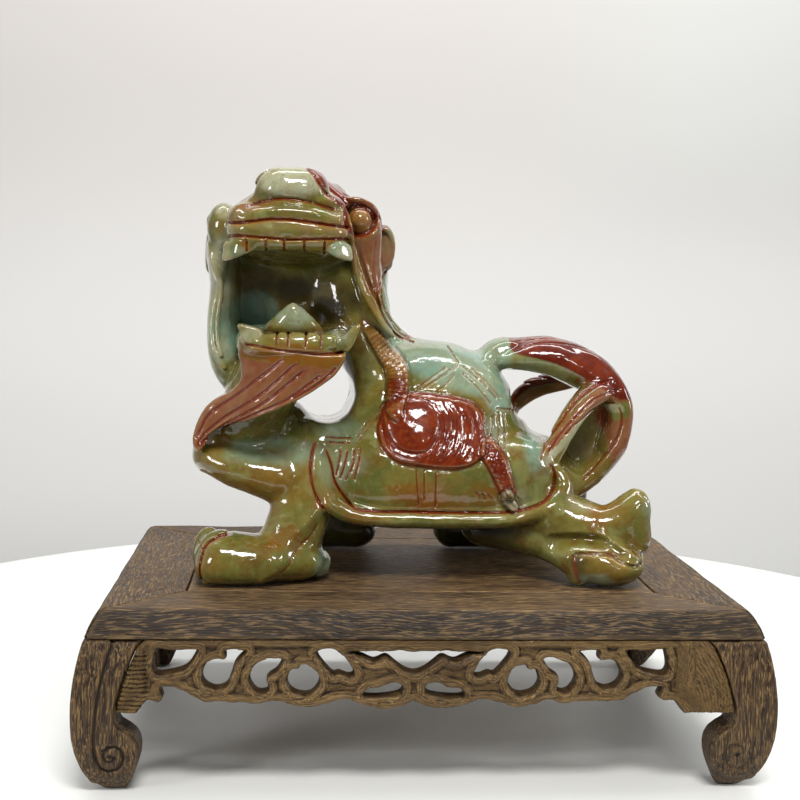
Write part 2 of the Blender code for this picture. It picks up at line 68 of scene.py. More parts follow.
class Clay:
    """Signed distances kept only in small blocks near the surface."""

    def __init__(self, lo, hi, step, side):
        self.h, self.side, self.span = step, side, step * side
        self.lo = np.array(lo, float)
        self.nb = np.ceil((np.array(hi, float) - self.lo) / self.span).astype(int)
        self.sign = None
        self.blocks = np.indices(self.nb).reshape(3, -1).T
        self.corner = (self.lo + self.blocks * self.span).astype(F4)
        self.off = np.array([[self.span / 2] * 3], F4)
        self.d = np.full((len(self.blocks), 1), 99, F4)
        self.band = 3.0

    def refine(self, margin):
        """Keep the blocks that the surface may pass through, fully sampled."""
        c = self.d[:, 0]
        self.sign = np.where(c < 0, -5, 5).astype(F4)
        keep = np.abs(c) < self.span * 0.88 + margin
        self.keep = keep
        self.blocks, self.corner = self.blocks[keep], self.corner[keep]
        n = self.side
        self.off = (np.indices((n, n, n)).reshape(3, -1).T * self.h).astype(F4)
        self.d = np.full((len(self.blocks), n ** 3), 99, F4)
        self.band = 1.6

    def near(self, lo, hi, m):
        c, s = self.corner, self.span
        ok = ((c[:, 0] >= lo[0] - m - s) & (c[:, 0] <= hi[0] + m)
              & (c[:, 1] >= lo[1] - m - s) & (c[:, 1] <= hi[1] + m)
              & (c[:, 2] >= lo[2] - m - s) & (c[:, 2] <= hi[2] + m))
        return np.nonzero(ok)[0]

    def xyz(self, sel):
        c = self.corner[sel]
        return [c[:, i][:, None] + self.off[:, i][None, :] for i in range(3)]

    def field(self, form, m):
        """Blocks near a form, and the form's own distances there."""
        sel = self.near(form.lo, form.hi, m)
        if not len(sel):
            return sel, None
        if len(form.pieces) == 1:
            return sel, form.pieces[0][2](*self.xyz(sel)).astype(F4)
        tmp = np.full((len(sel), len(self.off)), 99, F4)
        where = np.full(len(self.corner), -1)
        where[sel] = np.arange(len(sel))
        for lo, hi, fn in form.pieces:
            s = self.near(lo, hi, m)
            if len(s):
                w = where[s]
                tmp[w] = np.minimum(tmp[w], fn(*self.xyz(s)).astype(F4))
        return sel, tmp

    def add(self, form, k=3.0):
        sel, f = self.field(form, self.band + k)
        if len(sel):
            self.d[sel] = smin(self.d[sel], f, k)

    def cut(self, form, k=1.0):
        sel, f = self.field(form, self.band + k)
        if len(sel):
            self.d[sel] = smax(self.d[sel], -f, k)

    def press(self, lo, hi, fn):
        """Raise (negative) or sink (positive) the surface inside a box."""
        sel = self.near(lo, hi, 0.0)
        if len(sel):
            self.d[sel] += fn(*self.xyz(sel)).astype(F4)

    def change(self, lo, hi, fn):
        sel = self.near(lo, hi, 0.0)
        if len(sel):
            X, Y, Z = self.xyz(sel)
            self.d[sel] = fn(X, Y, Z, self.d[sel]).astype(F4)

    def dense(self):
        n, nb = self.side, self.nb
        t = np.empty((nb[0] * nb[1] * nb[2], n ** 3), F4)
        t[:] = self.sign[:, None]
        t[self.keep] = self.d
        t = t.reshape(nb[0], nb[1], nb[2], n, n, n).transpose(0, 3, 1, 4, 2, 5)
        return np.ascontiguousarray(t).reshape(nb[0] * n, nb[1] * n, nb[2] * n)

    def gather(self, big):
        n, nb = self.side, self.nb
        t = big.reshape(nb[0], n, nb[1], n, nb[2], n).transpose(0, 2, 4, 1, 3, 5)
        t = t.reshape(nb[0] * nb[1] * nb[2], n ** 3)
        self.d = np.ascontiguousarray(t[self.keep])

    def polish(self, passes):
        """Soften every crease a little, as tumbling and buffing do."""
        if passes < 1:
            return
        big = self.dense()
        for _ in range(passes):
            for ax in range(3):
                a = np.moveaxis(big, ax, 0)
                out = a.copy()
                out[1:-1] = 0.5 * a[1:-1]
                out[1:-1] += 0.25 * a[2:]
                out[1:-1] += 0.25 * a[:-2]
                big = np.ascontiguousarray(np.moveaxis(out, 0, ax))
        self.gather(big)


class Form:
    def __init__(self, pieces):
        self.pieces = pieces
        self.lo = np.min([p[0] for p in pieces], axis=0)
        self.hi = np.max([p[1] for p in pieces], axis=0)


def power(a, n):
    if n == 2.0:
        return a * a
    if n == 3.0:
        return np.abs(a * a * a)
    if n == 4.0:
        b = a * a
        return b * b
    return np.abs(a) ** F4(n)


def lump(c, r, n=2.0, ny=None, turn=0.0, yaw=0.0, tilt=0.0, under=1.0):
    """(Super)ellipsoid. turn is about y, yaw about z, tilt about x.

    under is how much flatter the lower half is than the upper."""
    rot = (Matrix.Rotation(math.radians(turn), 3, "Y")
           @ Matrix.Rotation(math.radians(yaw), 3, "Z")
           @ Matrix.Rotation(math.radians(tilt), 3, "X")).transposed()
    m = np.array(rot, F4)
    plain = turn == 0.0 and yaw == 0.0 and tilt == 0.0
    ny = ny or n

    def fn(X, Y, Z):
        x, y, z = X - F4(c[0]), Y - F4(c[1]), Z - F4(c[2])
        if not plain:
            x, y, z = (m[0, 0] * x + m[0, 1] * y + m[0, 2] * z,
                       m[1, 0] * x + m[1, 1] * y + m[1, 2] * z,
                       m[2, 0] * x + m[2, 1] * y + m[2, 2] * z)
        if under != 1.0:
            z = np.where(z < 0, z * F4(under), z)
        x, y, z = x / F4(r[0]), y / F4(r[1]), z / F4(r[2])
        if n == 2.0 and ny == 2.0:
            k0 = np.sqrt(x * x + y * y + z * z)
            x, y, z = x / F4(r[0]), y / F4(r[1]), z / F4(r[2])
            k1 = np.sqrt(x * x + y * y + z * z) + F4(1e-6)
            return k0 * (k0 - 1) / k1
        s = power(x, n) + power(z, n) + F4(1e-9)
        e = ny / n
        q = s if e == 1.0 else s ** F4(e)
        tot = q + power(y, ny)
        k0 = tot ** F4(1.0 / ny)
        # gradient of k0
        a = tot ** F4(1.0 / ny - 1.0)
        b = a if e == 1.0 else a * s ** F4(e - 1.0)
        gx = b * np.abs(x) ** F4(n - 1) / F4(r[0])
        gz = b * np.abs(z) ** F4(n - 1) / F4(r[2])
        gy = a * np.abs(y) ** F4(ny - 1) / F4(r[1])
        g = np.sqrt(gx * gx + gy * gy + gz * gz)
        return (k0 - 1) / np.maximum(g, F4(0.3 / max(r)))

    if plain:
        ext = np.array(r, float)
    else:
        ext = np.abs(np.array(rot.transposed())) @ np.array(r, float)
    c = np.array(c, float)
    return Form([(c - ext, c + ext, fn)])


def spline(rows, sub):
    """Catmull-Rom curve through rows of numbers."""
    p = np.array(rows, float)
    if len(p) < 3 or sub < 2:
        t = np.linspace(0, len(p) - 1, (len(p) - 1) * max(sub, 1) + 1)
        i = np.minimum(t.astype(int), len(p) - 2)
        f = (t - i)[:, None]
        return p[i] * (1 - f) + p[i + 1] * f
    q = np.vstack([2 * p[0] - p[1], p, 2 * p[-1] - p[-2]])
    out = []
    for i in range(1, len(q) - 2):
        a, b, c, d = q[i - 1], q[i], q[i + 1], q[i + 2]
        for j in range(sub):
            t = j / sub
            out.append(0.5 * (2 * b + (c - a) * t + (2 * a - 5 * b + 4 * c - d) * t * t
                              + (3 * b - a - 3 * c + d) * t ** 3))
    out.append(p[-1])
    return np.array(out)


def limb(links, sub=4):
    """Ellipsoids (centre, radii, turn about y) swept into a smooth limb."""
    rows = [list(l[0]) + list(l[1]) + [l[2] if len(l) > 2 else 0.0] for l in links]
    nodes = spline(rows, sub)
    nodes[:, 3:6] = np.maximum(nodes[:, 3:6], 0.4)
    pieces = []
    for a, b in zip(nodes, nodes[1:]):
        pieces.append(limb_piece(a, b))
    return Form(pieces)


def limb_piece(a, b):
    turned = abs(a[6]) + abs(b[6]) > 1e-3
    m = 0.5 * (a[3:6] + b[3:6])
    dv = (b[:3] - a[:3])
    w = dv / m ** 2
    L = float(np.dot(dv, w)) + 1e-9
    w = (w / L).astype(F4)
    A, D = a.astype(F4), (b - a).astype(F4)

    def fn(X, Y, Z):
        x, y, z = X - A[0], Y - A[1], Z - A[2]
        t = np.clip(x * w[0] + y * w[1] + z * w[2], 0, 1)
        x, y, z = x - t * D[0], y - t * D[1], z - t * D[2]
        if turned:
            g = np.radians(A[6] + t * D[6])
            cs, sn = np.cos(g), np.sin(g)
            x, z = cs * x - sn * z, sn * x + cs * z
        rx, ry, rz = A[3] + t * D[3], A[4] + t * D[4], A[5] + t * D[5]
        x, y, z = x / rx, y / ry, z / rz
        k0 = np.sqrt(x * x + y * y + z * z)
        x, y, z = x / rx, y / ry, z / rz
        k1 = np.sqrt(x * x + y * y + z * z) + F4(1e-6)
        return k0 * (k0 - 1) / k1

    ra = np.array([max(a[3], a[5])] * 2 + [0]) if turned else a[3:6]
    rb = np.array([max(b[3], b[5])] * 2 + [0]) if turned else b[3:6]
    if turned:
        ra = np.array([ra[0], a[4], ra[0]])
        rb = np.array([rb[0], b[4], rb[0]])
    return (np.minimum(a[:3] - ra, b[:3] - rb), np.maximum(a[:3] + ra, b[:3] + rb), fn)


def strap(rows, sub=6, n=2.4):
    """Flat ribbon: rows of (centre, width direction, half width, half thickness)."""
    nodes = spline([list(r[0]) + list(r[1]) + [r[2], r[3]] for r in rows], sub)
    nodes[:, 6:8] = np.maximum(nodes[:, 6:8], 0.3)
    tang = np.gradient(nodes[:, :3], axis=0)
    tang /= np.linalg.norm(tang, axis=1)[:, None]
    wid = nodes[:, 3:6]
    wid = wid - tang * np.sum(wid * tang, axis=1)[:, None]
    wid /= np.linalg.norm(wid, axis=1)[:, None]
    nor = np.cross(tang, wid)
    pieces = []
    for i in range(len(nodes) - 1):
        pieces.append(strap_piece(nodes[i], nodes[i + 1], wid[i], wid[i + 1],
                                  nor[i], nor[i + 1], n))
    return Form(pieces)


def strap_piece(a, b, w0, w1, n0, n1, n):
    dv = b[:3] - a[:3]
    L = float(np.linalg.norm(dv)) + 1e-9
    T = (dv / L).astype(F4)
    w = (dv / L ** 2).astype(F4)
    A, D = a.astype(F4), (b - a).astype(F4)
    W0, DW, N0, DN = [v.astype(F4) for v in (w0, w1 - w0, n0, n1 - n0)]

    def fn(X, Y, Z):
        x, y, z = X - A[0], Y - A[1], Z - A[2]
        t = np.clip(x * w[0] + y * w[1] + z * w[2], 0, 1)
        x, y, z = x - t * D[0], y - t * D[1], z - t * D[2]
        s = x * (W0[0] + t * DW[0]) + y * (W0[1] + t * DW[1]) + z * (W0[2] + t * DW[2])
        u = x * (N0[0] + t * DN[0]) + y * (N0[1] + t * DN[1]) + z * (N0[2] + t * DN[2])
        e = x * T[0] + y * T[1] + z * T[2]
        hw, ht = A[6] + t * D[6], A[7] + t * D[7]
        s, u, e = np.abs(s / hw), np.abs(u / ht), np.abs(e / ht)
        sp, up, ep = s ** F4(n - 1), u ** F4(n - 1), e ** F4(n - 1)
        tot = s * sp + u * up + e * ep + F4(1e-9)
        k0 = tot ** F4(1.0 / n)
        c = tot ** F4(1.0 / n - 1.0)
        g = c * np.sqrt((sp / hw) ** 2 + (up / ht) ** 2 + (ep / ht) ** 2)
        return (k0 - 1) / np.maximum(g, 0.15 / hw)

    ra = np.array([max(a[6], a[7])] * 3)
    rb = np.array([max(b[6], b[7])] * 3)
    return (np.minimum(a[:3] - ra, b[:3] - rb), np.maximum(a[:3] + ra, b[:3] + rb), fn)


# ------------------------------------------------- flat shapes and strokes
def line_distance(px, pz, pts, closed=False):
    """Distance from points to a polyline, and how far along it (0 to 1)."""
    best = np.full(px.shape, 1e6, F4)
    along = np.zeros(px.shape, F4)
    p = np.array(pts, float)
    if closed:
        p = np.vstack([p, p[:1]])
    seg = np.linalg.norm(np.diff(p, axis=0), axis=1)
    total = max(seg.sum(), 1e-9)
    run = 0.0
    for i in range(len(p) - 1):
        a, dvec = p[i], p[i + 1] - p[i]
        L2 = float(dvec @ dvec) + 1e-12
        x, z = px - F4(a[0]), pz - F4(a[1])
        t = np.clip((x * F4(dvec[0]) + z * F4(dvec[1])) / F4(L2), 0, 1)
        dx, dz = x - t * F4(dvec[0]), z - t * F4(dvec[1])
        dd = dx * dx + dz * dz
        closer = dd < best
        best = np.where(closer, dd, best)
        along = np.where(closer, (run + t * seg[i]) / total, along)
        run += seg[i]
    return np.sqrt(best), along


def inside(px, pz, pts):
    p = np.array(pts, float)
    q = np.roll(p, -1, axis=0)
    odd = np.zeros(px.shape, bool)
    for a, b in zip(p, q):
        if a[1] == b[1]:
            continue
        hit = ((a[1] > pz) != (b[1] > pz)) & (
            px < (b[0] - a[0]) * (pz - a[1]) / (b[1] - a[1]) + a[0])
        odd ^= hit
    return odd


def shape_distance(px, pz, pts):
    d, _ = line_distance(px, pz, pts, closed=True)
    return np.where(inside(px, pz, pts), -d, d).astype(F4)


def closed_curve(pts, sub=5):
    p = [tuple(q) for q in pts]
    n = len(p)
    out = spline(p[-2:] + p + p[:3], sub)
    return out[2 * sub:(2 + n) * sub]


def curve(pts, sub=5):
    return spline(pts, sub)


def slab(outline, y0, y1, rnd=1.0, mid=None, plane="xz"):
    """Outline in the front plane, cut from a board with rounded edges.

    mid(x, z) moves the board's middle in y."""
    out = np.array(outline, float)
    yc, hy = 0.5 * (y0 + y1), 0.5 * (y1 - y0)

    def fn(X, Y, Z):
        d2 = shape_distance(X, Z, out) + F4(rnd)
        m = yc if mid is None else yc + mid(X, Z)
        dy = np.abs(Y - m) - F4(hy - rnd)
        a, b = np.maximum(d2, 0), np.maximum(dy, 0)
        return np.sqrt(a * a + b * b) + np.minimum(np.maximum(d2, dy), 0) - F4(rnd)

    lo = (out[:, 0].min(), y0 - 20 if mid is not None else y0, out[:, 1].min())
    hi = (out[:, 0].max(), y1 + 20 if mid is not None else y1, out[:, 1].max())
    return Form([(np.array(lo), np.array(hi), fn)])


def smooth(x, a, b):
    t = np.clip((x - F4(a)) / F4(b - a), 0, 1)
    return t * t * (3 - 2 * t)


# ------------------------------------------------------------- to a mesh
GROUND = {}
CORNERS = [(i, j, k) for i in (0, 1) for j in (0, 1) for k in (0, 1)]
EDGES = [(a, b) for a in range(8) for b in range(a + 1, 8)
         if sum(abs(p - q) for p, q in zip(CORNERS[a], CORNERS[b])) == 1]


def sampled(big, lo, h, P):
    """Field value and slope at points, by trilinear interpolation."""
    g = (P - lo) / h
    g = np.clip(g, 0.001, np.array(big.shape) - 1.001)
    i = g.astype(int)
    f = g - i
    v = {}
    for a, b, c in CORNERS:
        v[a, b, c] = big[i[:, 0] + a, i[:, 1] + b, i[:, 2] + c].astype(float)
    fx, fy, fz = f[:, 0], f[:, 1], f[:, 2]

    def mix(p, q, t):
        return p + (q - p) * t

    x = {(b, c): mix(v[0, b, c], v[1, b, c], fx) for b in (0, 1) for c in (0, 1)}
    val = mix(mix(x[0, 0], x[1, 0], fy), mix(x[0, 1], x[1, 1], fy), fz)
    dx = {(b, c): v[1, b, c] - v[0, b, c] for b in (0, 1) for c in (0, 1)}
    gx = mix(mix(dx[0, 0], dx[1, 0], fy), mix(dx[0, 1], dx[1, 1], fy), fz)
    gy = mix(x[1, 0] - x[0, 0], x[1, 1] - x[0, 1], fz)
    gz = mix(x[0, 1], x[1, 1], fy) - mix(x[0, 0], x[1, 0], fy)
    return val, np.stack([gx, gy, gz], 1) / h


def settle(big, lo, h, P, times=2, reach=0.6):
    for _ in range(times):
        val, g = sampled(big, lo, h, P)
        gg = np.sum(g * g, axis=1) + 1e-6
        step = np.clip(val / gg, -reach, reach)
        P = P - g * step[:, None]
    return P


def surface_of(big, lo, h):
    """Quads of the zero level (surface nets)."""
    S = big < 0
    n = np.zeros(tuple(s - 1 for s in S.shape), np.uint8)
    for a, b, c in CORNERS:
        n += S[a:S.shape[0] - 1 + a, b:S.shape[1] - 1 + b, c:S.shape[2] - 1 + c]
    act = (n > 0) & (n < 8)
    ijk = np.argwhere(act)
    index = np.full(act.shape, -1, np.int32)
    index[act] = np.arange(len(ijk), dtype=np.int32)
    V = [big[ijk[:, 0] + a, ijk[:, 1] + b, ijk[:, 2] + c] for a, b, c in CORNERS]
    acc = np.zeros((len(ijk), 3))
    cnt = np.zeros(len(ijk))
    for a, b in EDGES:
        cross = (V[a] < 0) != (V[b] < 0)
        va, vb = V[a][cross], V[b][cross]
        t = (va / (va - vb))[:, None]
        pa, pb = np.array(CORNERS[a], float), np.array(CORNERS[b], float)
        acc[cross] += pa + t * (pb - pa)
        cnt[cross] += 1
    P = lo + h * (ijk + acc / cnt[:, None])
    quads = []
    for ax in range(3):
        u, v = (ax + 1) % 3, (ax + 2) % 3
        s0 = [slice(1, -1)] * 3
        s1 = [slice(1, -1)] * 3
        s0[ax], s1[ax] = slice(0, -1), slice(1, None)
        A, B = S[tuple(s0)], S[tuple(s1)]
        e = np.argwhere(A != B)
        inner = A[e[:, 0], e[:, 1], e[:, 2]]
        g = e + np.array([1, 1, 1])
        g[:, ax] -= 1
        c = []
        for du, dv in ((-1, -1), (0, -1), (0, 0), (-1, 0)):
            q = g.copy()
            q[:, u] += du
            q[:, v] += dv
            c.append(index[q[:, 0], q[:, 1], q[:, 2]])
        f = np.stack(c, 1)
        f[~inner] = f[~inner][:, ::-1]
        quads.append(f)
    F = np.vstack(quads)
    return P, F


def mesh_from(name, P, F):
    me = bpy.data.meshes.new(name)
    k = F.shape[1]
    me.vertices.add(len(P))
    me.vertices.foreach_set("co", P.astype(F4).ravel())
    me.loops.add(F.size)
    me.loops.foreach_set("vertex_index", F.astype(np.int32).ravel())
    me.polygons.add(len(F))
    me.polygons.foreach_set("loop_start", np.arange(len(F), dtype=np.int32) * k)
    me.polygons.foreach_set("loop_total", np.full(len(F), k, np.int32))
    me.update(calc_edges=True)
    me.validate()
    return me


def coords(me):
    co = np.empty(len(me.vertices) * 3, F4)
    me.vertices.foreach_get("co", co)
    return co.reshape(-1, 3).astype(float)


def sculpted(name, rough, mid, fine, lo, hi, step, side, passes, faces, place,
             margin=1.7):
    """Runs the sculpting functions, and returns the object and its field."""
    clay = Clay(lo, hi, step, side)
    rough(clay)
    mid(clay)
    clay.refine(margin)
    rough(clay)
    clay.polish(passes)
    mid(clay)
    clay.polish(1)
    fine(clay)
    big = clay.dense()
    say("%s: %d blocks" % (name, len(clay.blocks)))
    P, F = surface_of(big, clay.lo, step)
    P = settle(big, clay.lo, step, P, 2, step * 0.7)
    me = mesh_from(name, P, F)
    tris = 2 * len(F)
    if faces and tris > faces:
        ob = bpy.data.objects.new(name, me)
        bpy.context.scene.collection.objects.link(ob)
        mod = ob.modifiers.new("thin", "DECIMATE")
        mod.ratio = faces / tris
        mod.use_collapse_triangulate = True
        dg = bpy.context.evaluated_depsgraph_get()
        out = bpy.data.meshes.new_from_object(ob.evaluated_get(dg), depsgraph=dg)
        bpy.data.objects.remove(ob)
        bpy.data.meshes.remove(me)
        me = out
        me.name = name
        P = settle(big, clay.lo, step, coords(me), 1, step * 0.4)
        me.vertices.foreach_set("co", P.astype(F4).ravel())
    P = coords(me)
    _, g = sampled(big, clay.lo, step, P)
    g /= np.linalg.norm(g, axis=1)[:, None] + 1e-9
    say("%s: %d faces" % (name, len(me.polygons)))
    GROUND[name] = (clay, big)
    me.polygons.foreach_set("use_smooth", np.ones(len(me.polygons), bool))
    ob = bpy.data.objects.new(name, me)
    bpy.context.scene.collection.objects.link(ob)
    return ob, P, g, place


def seat(ob, P, g, place):
    """Moves a sculpted mesh to its place in metres and keeps its fine normals."""
    me = ob.data
    m = np.array(place, float)
    Q = (P @ m[:3, :3].T + m[:3, 3]) * MM
    N = g @ np.linalg.inv(m[:3, :3])
    N /= np.linalg.norm(N, axis=1)[:, None]
    me.vertices.foreach_set("co", Q.astype(F4).ravel())
    me.update()
    me.normals_split_custom_set_from_vertices(N.tolist())
    return ob


def paint(ob, name, values):
    at = ob.data.attributes.new(name, "FLOAT", "POINT")
    at.data.foreach_set("value", np.asarray(values, F4))
# ------------------------------------------------------------ the carving
BASE_Z = 62.3          # soles of the feet above the table
SET_X = -1.6           # the carving stands a little left of the stand's centre


def turtle_rough(c):
    """Every main mass of the carving."""
    # shell: a dome over a boat-shaped skirt
    c.add(lump((7.5, 1, 38), (48.6, 41.0, 18.0), n=3.2, ny=3.4), 0)
    c.add(lump((3.5, 1, 36), (42.5, 38.5, 51.0), n=2.3, ny=2.2, under=3.6), 6)
    # body inside, and breast running out to the curl under the beard
    c.add(limb([((-22, 0, 43), (24, 26, 19)), ((-50, -8, 42.5), (20, 22, 13)),
                ((-70, -14, 47.5), (12.5, 13, 9.5))]), 5)
    c.add(limb([((-74.2, -18, 43.6), (8.6, 13.4, 7.6)), ((-64, -22, 40.0), (10, 14, 8.0)),
                ((-52, -24, 37), (12, 13, 9.5))]), 4)
    # neck
    c.add(limb([((-18, 0, 58), (13, 24, 20)), ((-18, -3, 80), (10, 20, 14)),
                ((-26, 0, 104), (16, 18, 18))]), 6)
    # back of the head and the mane behind it
    c.add(lump((-44.5, 4, 110), (33, 15, 28), n=2.3), 4)
    # mane down the left side of the head
    c.add(limb([((-73, -8, 118), (6, 11, 10)), ((-72, -9, 106), (5.5, 11, 9)),
                ((-72.5, -11, 92), (6, 11, 9)), ((-70.5, -13, 79), (6.5, 10, 7)),
                ((-66, -14, 70), (6, 8, 5))]), 3)
    # mane down the right side, ending on the shell
    c.add(limb([((-17, 0, 117), (7, 11, 12)), ((-17, 2, 104), (5.5, 12, 9)),
                ((-13.4, 4, 93), (5.5, 12, 5.6)), ((-6, 5, 85.8), (7, 10, 3.4)),
                ((1, 5, 84.6), (4, 7, 2))]), 3)
    # skull
    c.add(lump((-45, -6, 128.5), (27, 20, 14.5), n=2.3), 4)
    c.add(lump((-45, -12, 138), (17, 16, 8), n=2.2), 4)
    # right eye with its socket and the cheek column under it
    c.add(limb([((-20.5, -20, 126), (6.5, 8, 9)), ((-19, -17, 113), (5.5, 8, 8)),
                ((-16, -16, 101), (4.5, 8, 7)), ((-11.5, -18, 91), (3, 6, 4))]), 2)
    c.add(lump((-22.4, -12.5, 131.6), (8.0, 9.5, 7.6), n=2.2), 2)
    # left eye bulge
    c.add(lump((-71.5, -23, 127.5), (6.3, 8.5, 9)), 2.5)
    c.add(limb([((-73.5, -20, 120), (3.6, 7, 5)), ((-73, -18, 112), (2.5, 7, 5))]), 2)
    # ears
    c.add(limb([((-12.5, -4, 127), (3.4, 4, 3.6)), ((-11.0, -6, 122), (2.6, 4, 5)),
                ((-12.0, -6, 116.5), (3.2, 4, 3.6))]), 1.5)
    c.add(limb([((-76.5, -3, 123), (3, 4, 6)), ((-78, 4, 116), (2.6, 4, 6))]), 1.5)
    # horns lying back over the skull
    for s in (-1, 1):
        c.add(limb([((-44 + s * 9, -12, 142.5), (3.6, 5, 3.4)),
                    ((-44 + s * 13, 2, 142), (4, 5, 3.4)),
                    ((-44 + s * 17, 14, 136), (3.4, 4.5, 3.2)),
                    ((-44 + s * 19, 20, 127), (2.4, 3, 3))]), 1.5)
    # brow ridge from the crown down to the right eye
    c.add(limb([((-41.0, -19, 145.6), (2.8, 5, 3.0)), ((-36.6, -20, 143.2), (3.0, 5, 3.0)),
                ((-32.4, -21, 139.8), (3.4, 4.8, 3)), ((-28.6, -21, 136.2), (3.2, 4.5, 3))]), 1.0)
    c.add(limb([((-37.0, -8, 145.2), (2.6, 5, 2.6)), ((-33.0, -10, 142.6), (2.6, 5, 2.6)),
                ((-27.4, -13, 138.6), (2.6, 5, 2.6))]), 1.0)
    # snout: nose dome and the block of the folded lip
    c.add(lump((-48.4, -31, 127.6), (21.6, 18, 10.4), n=3.4, ny=3.4), 2)
    c.add(lump((-46.0, -33, 134.5), (17.5, 14.5, 6.5), n=2.8, ny=2.6), 1.5)
    c.add(lump((-47.2, -34.5, 138.6), (13.3, 13, 10.4), n=3.0, ny=2.6), 1.5)
    # lower jaw, chin and the stone behind the beard
    c.add(lump((-46, -30, 87), (20.5, 21.5, 6.3), n=3.2, ny=3.0), 2)
    c.add(limb([((-49, -26, 80), (16, 18, 9)), ((-57, -24, 68), (13, 13, 11)),
                ((-63, -19, 56), (13, 13, 9))]), 3)
    # stone closing the breast under the beard
    c.add(limb([((-56, -12, 58), (9, 14, 9)), ((-48, -10, 56), (9, 15, 8)), ((-40, -8, 51), (9, 15, 6.5))]), 3)
    # near front leg and paw
    c.add(limb([((-36, -22, 42), (14, 13, 18)), ((-42.4, -28.6, 25), (11.0, 9.4, 11)),
                ((-46.5, -31, 13), (11.5, 10.5, 9.5))]), 5)
    c.add(limb([((-46, -32, 7.6), (13, 12, 8.0)), ((-60, -36, 8.6), (11, 12.4, 8.8)),
                ((-70.6, -36.6, 9.4), (9.4, 12, 9.6))]), 3)
    c.add(lump((-66.5, -38, 6.6), (13.6, 11.4, 6.8), n=2.7, ny=2.5), 2)
    c.add(lump((-76.0, -30, 9.3), (5.6, 8, 9.5)), 1.2)
    c.add(limb([((-47, -30, 7.0), (9, 9, 7.2)), ((-36.6, -28, 5.4), (5.6, 7.2, 5.6))]), 2.0)
    # far front leg
    c.add(limb([((-26, 20, 36), (14, 12, 16)), ((-30, 27, 20), (10, 9, 11)),
                ((-32, 29, 9), (12, 10, 9))]), 5)
    c.add(limb([((-20, 28, 7.5), (8.5, 8.5, 7.5)), ((-34, 30, 8), (10, 10, 8)),
                ((-46.5, 31, 8), (8, 9, 8))]), 2)
    # near hind leg, foot turned out behind
    c.add(limb([((34, -19, 28), (17, 14, 12)), ((60, -29, 21.5), (12, 11, 9)),
                ((71, -33, 20), (9, 8.5, 8.5)), ((81, -34, 27.5), (5.6, 7, 7.6))]), 4)
    c.add(limb([((79, -34, 25), (6.5, 7.5, 8)), ((81.5, -34, 17), (5.6, 7.5, 7))]), 2)
    c.add(limb([((30, -20, 17), (12, 10, 7)), ((50, -28, 14), (10, 9, 7)),
                ((66, -37, 9.4), (13, 11.5, 9.2)), ((72.6, -38.6, 7.8), (10.6, 12.4, 7.8))]), 3)
    # far hind leg
    c.add(limb([((34, 20, 28), (18, 14, 15)), ((58, 29, 24), (13, 11, 11)),
                ((70, 33, 23), (7, 8, 9))]), 5)
    c.add(limb([((20, 29, 8), (8, 8.5, 8)), ((36, 30, 9), (12, 10, 9)),
                ((54, 32, 10), (11, 9, 10))]), 3)
    # the shell falls away steeply under the tail
    c.cut(limb([((44.8, -50, 65.0), (7.8, 3, 7.8)), ((44.8, 50, 65.0), (7.8, 3, 7.8))], 1), 3.0)
    turtle_tail(c)
    # rolled rim of the shell, turned up at the tail end
    for s in (-1, 1):
        c.add(limb([((-34.5, s * 32.6, 37), (3.2, 3.6, 3.6)), ((-32.2, s * 34.2, 30.4), (3.4, 3.6, 3.6)),
                    ((-27.0, s * 35.6, 26.2), (3.6, 3.8, 3.6)), ((-18, s * 36.2, 24.2), (3.6, 3.8, 3.6)),
                    ((0, s * 36.5, 23.6), (3.6, 3.8, 3.6)), ((24, s * 36.5, 23.7), (3.6, 3.8, 3.6)),
                    ((38, s * 35.4, 24.8), (3.6, 3.8, 3.6)), ((47.4, s * 32.8, 27.0), (3.6, 3.8, 3.5)),
                    ((53.8, s * 29.0, 30.4), (3.5, 3.8, 3.4)), ((55.6, s * 26.4, 34.8), (3.3, 3.6, 3.3)),
                    ((53.4, s * 25.0, 38.8), (3.0, 3.4, 3.0)), ((49.6, s * 24.0, 41.8), (2.8, 3.2, 2.8))]), 2.0)
    # the open mouth
    c.cut(lump((-48, -44, 104.6), (22.4, 33, 14.6), n=2.9, ny=2.6), 2.0)
    c.cut(lump((-47, -60, 107), (40, 24, 11.5), n=2.6), 3.0)
    # the hole between beard and neck, a little larger in front
    c.cut(limb([((-33.2, -60, 68.6), (10.6, 3, 10.6)), ((-33.2, -5, 67.2), (9.8, 3, 10.6)),
                ((-33.4, 50, 65.0), (9.3, 3, 11.4))], 1), 2.5)


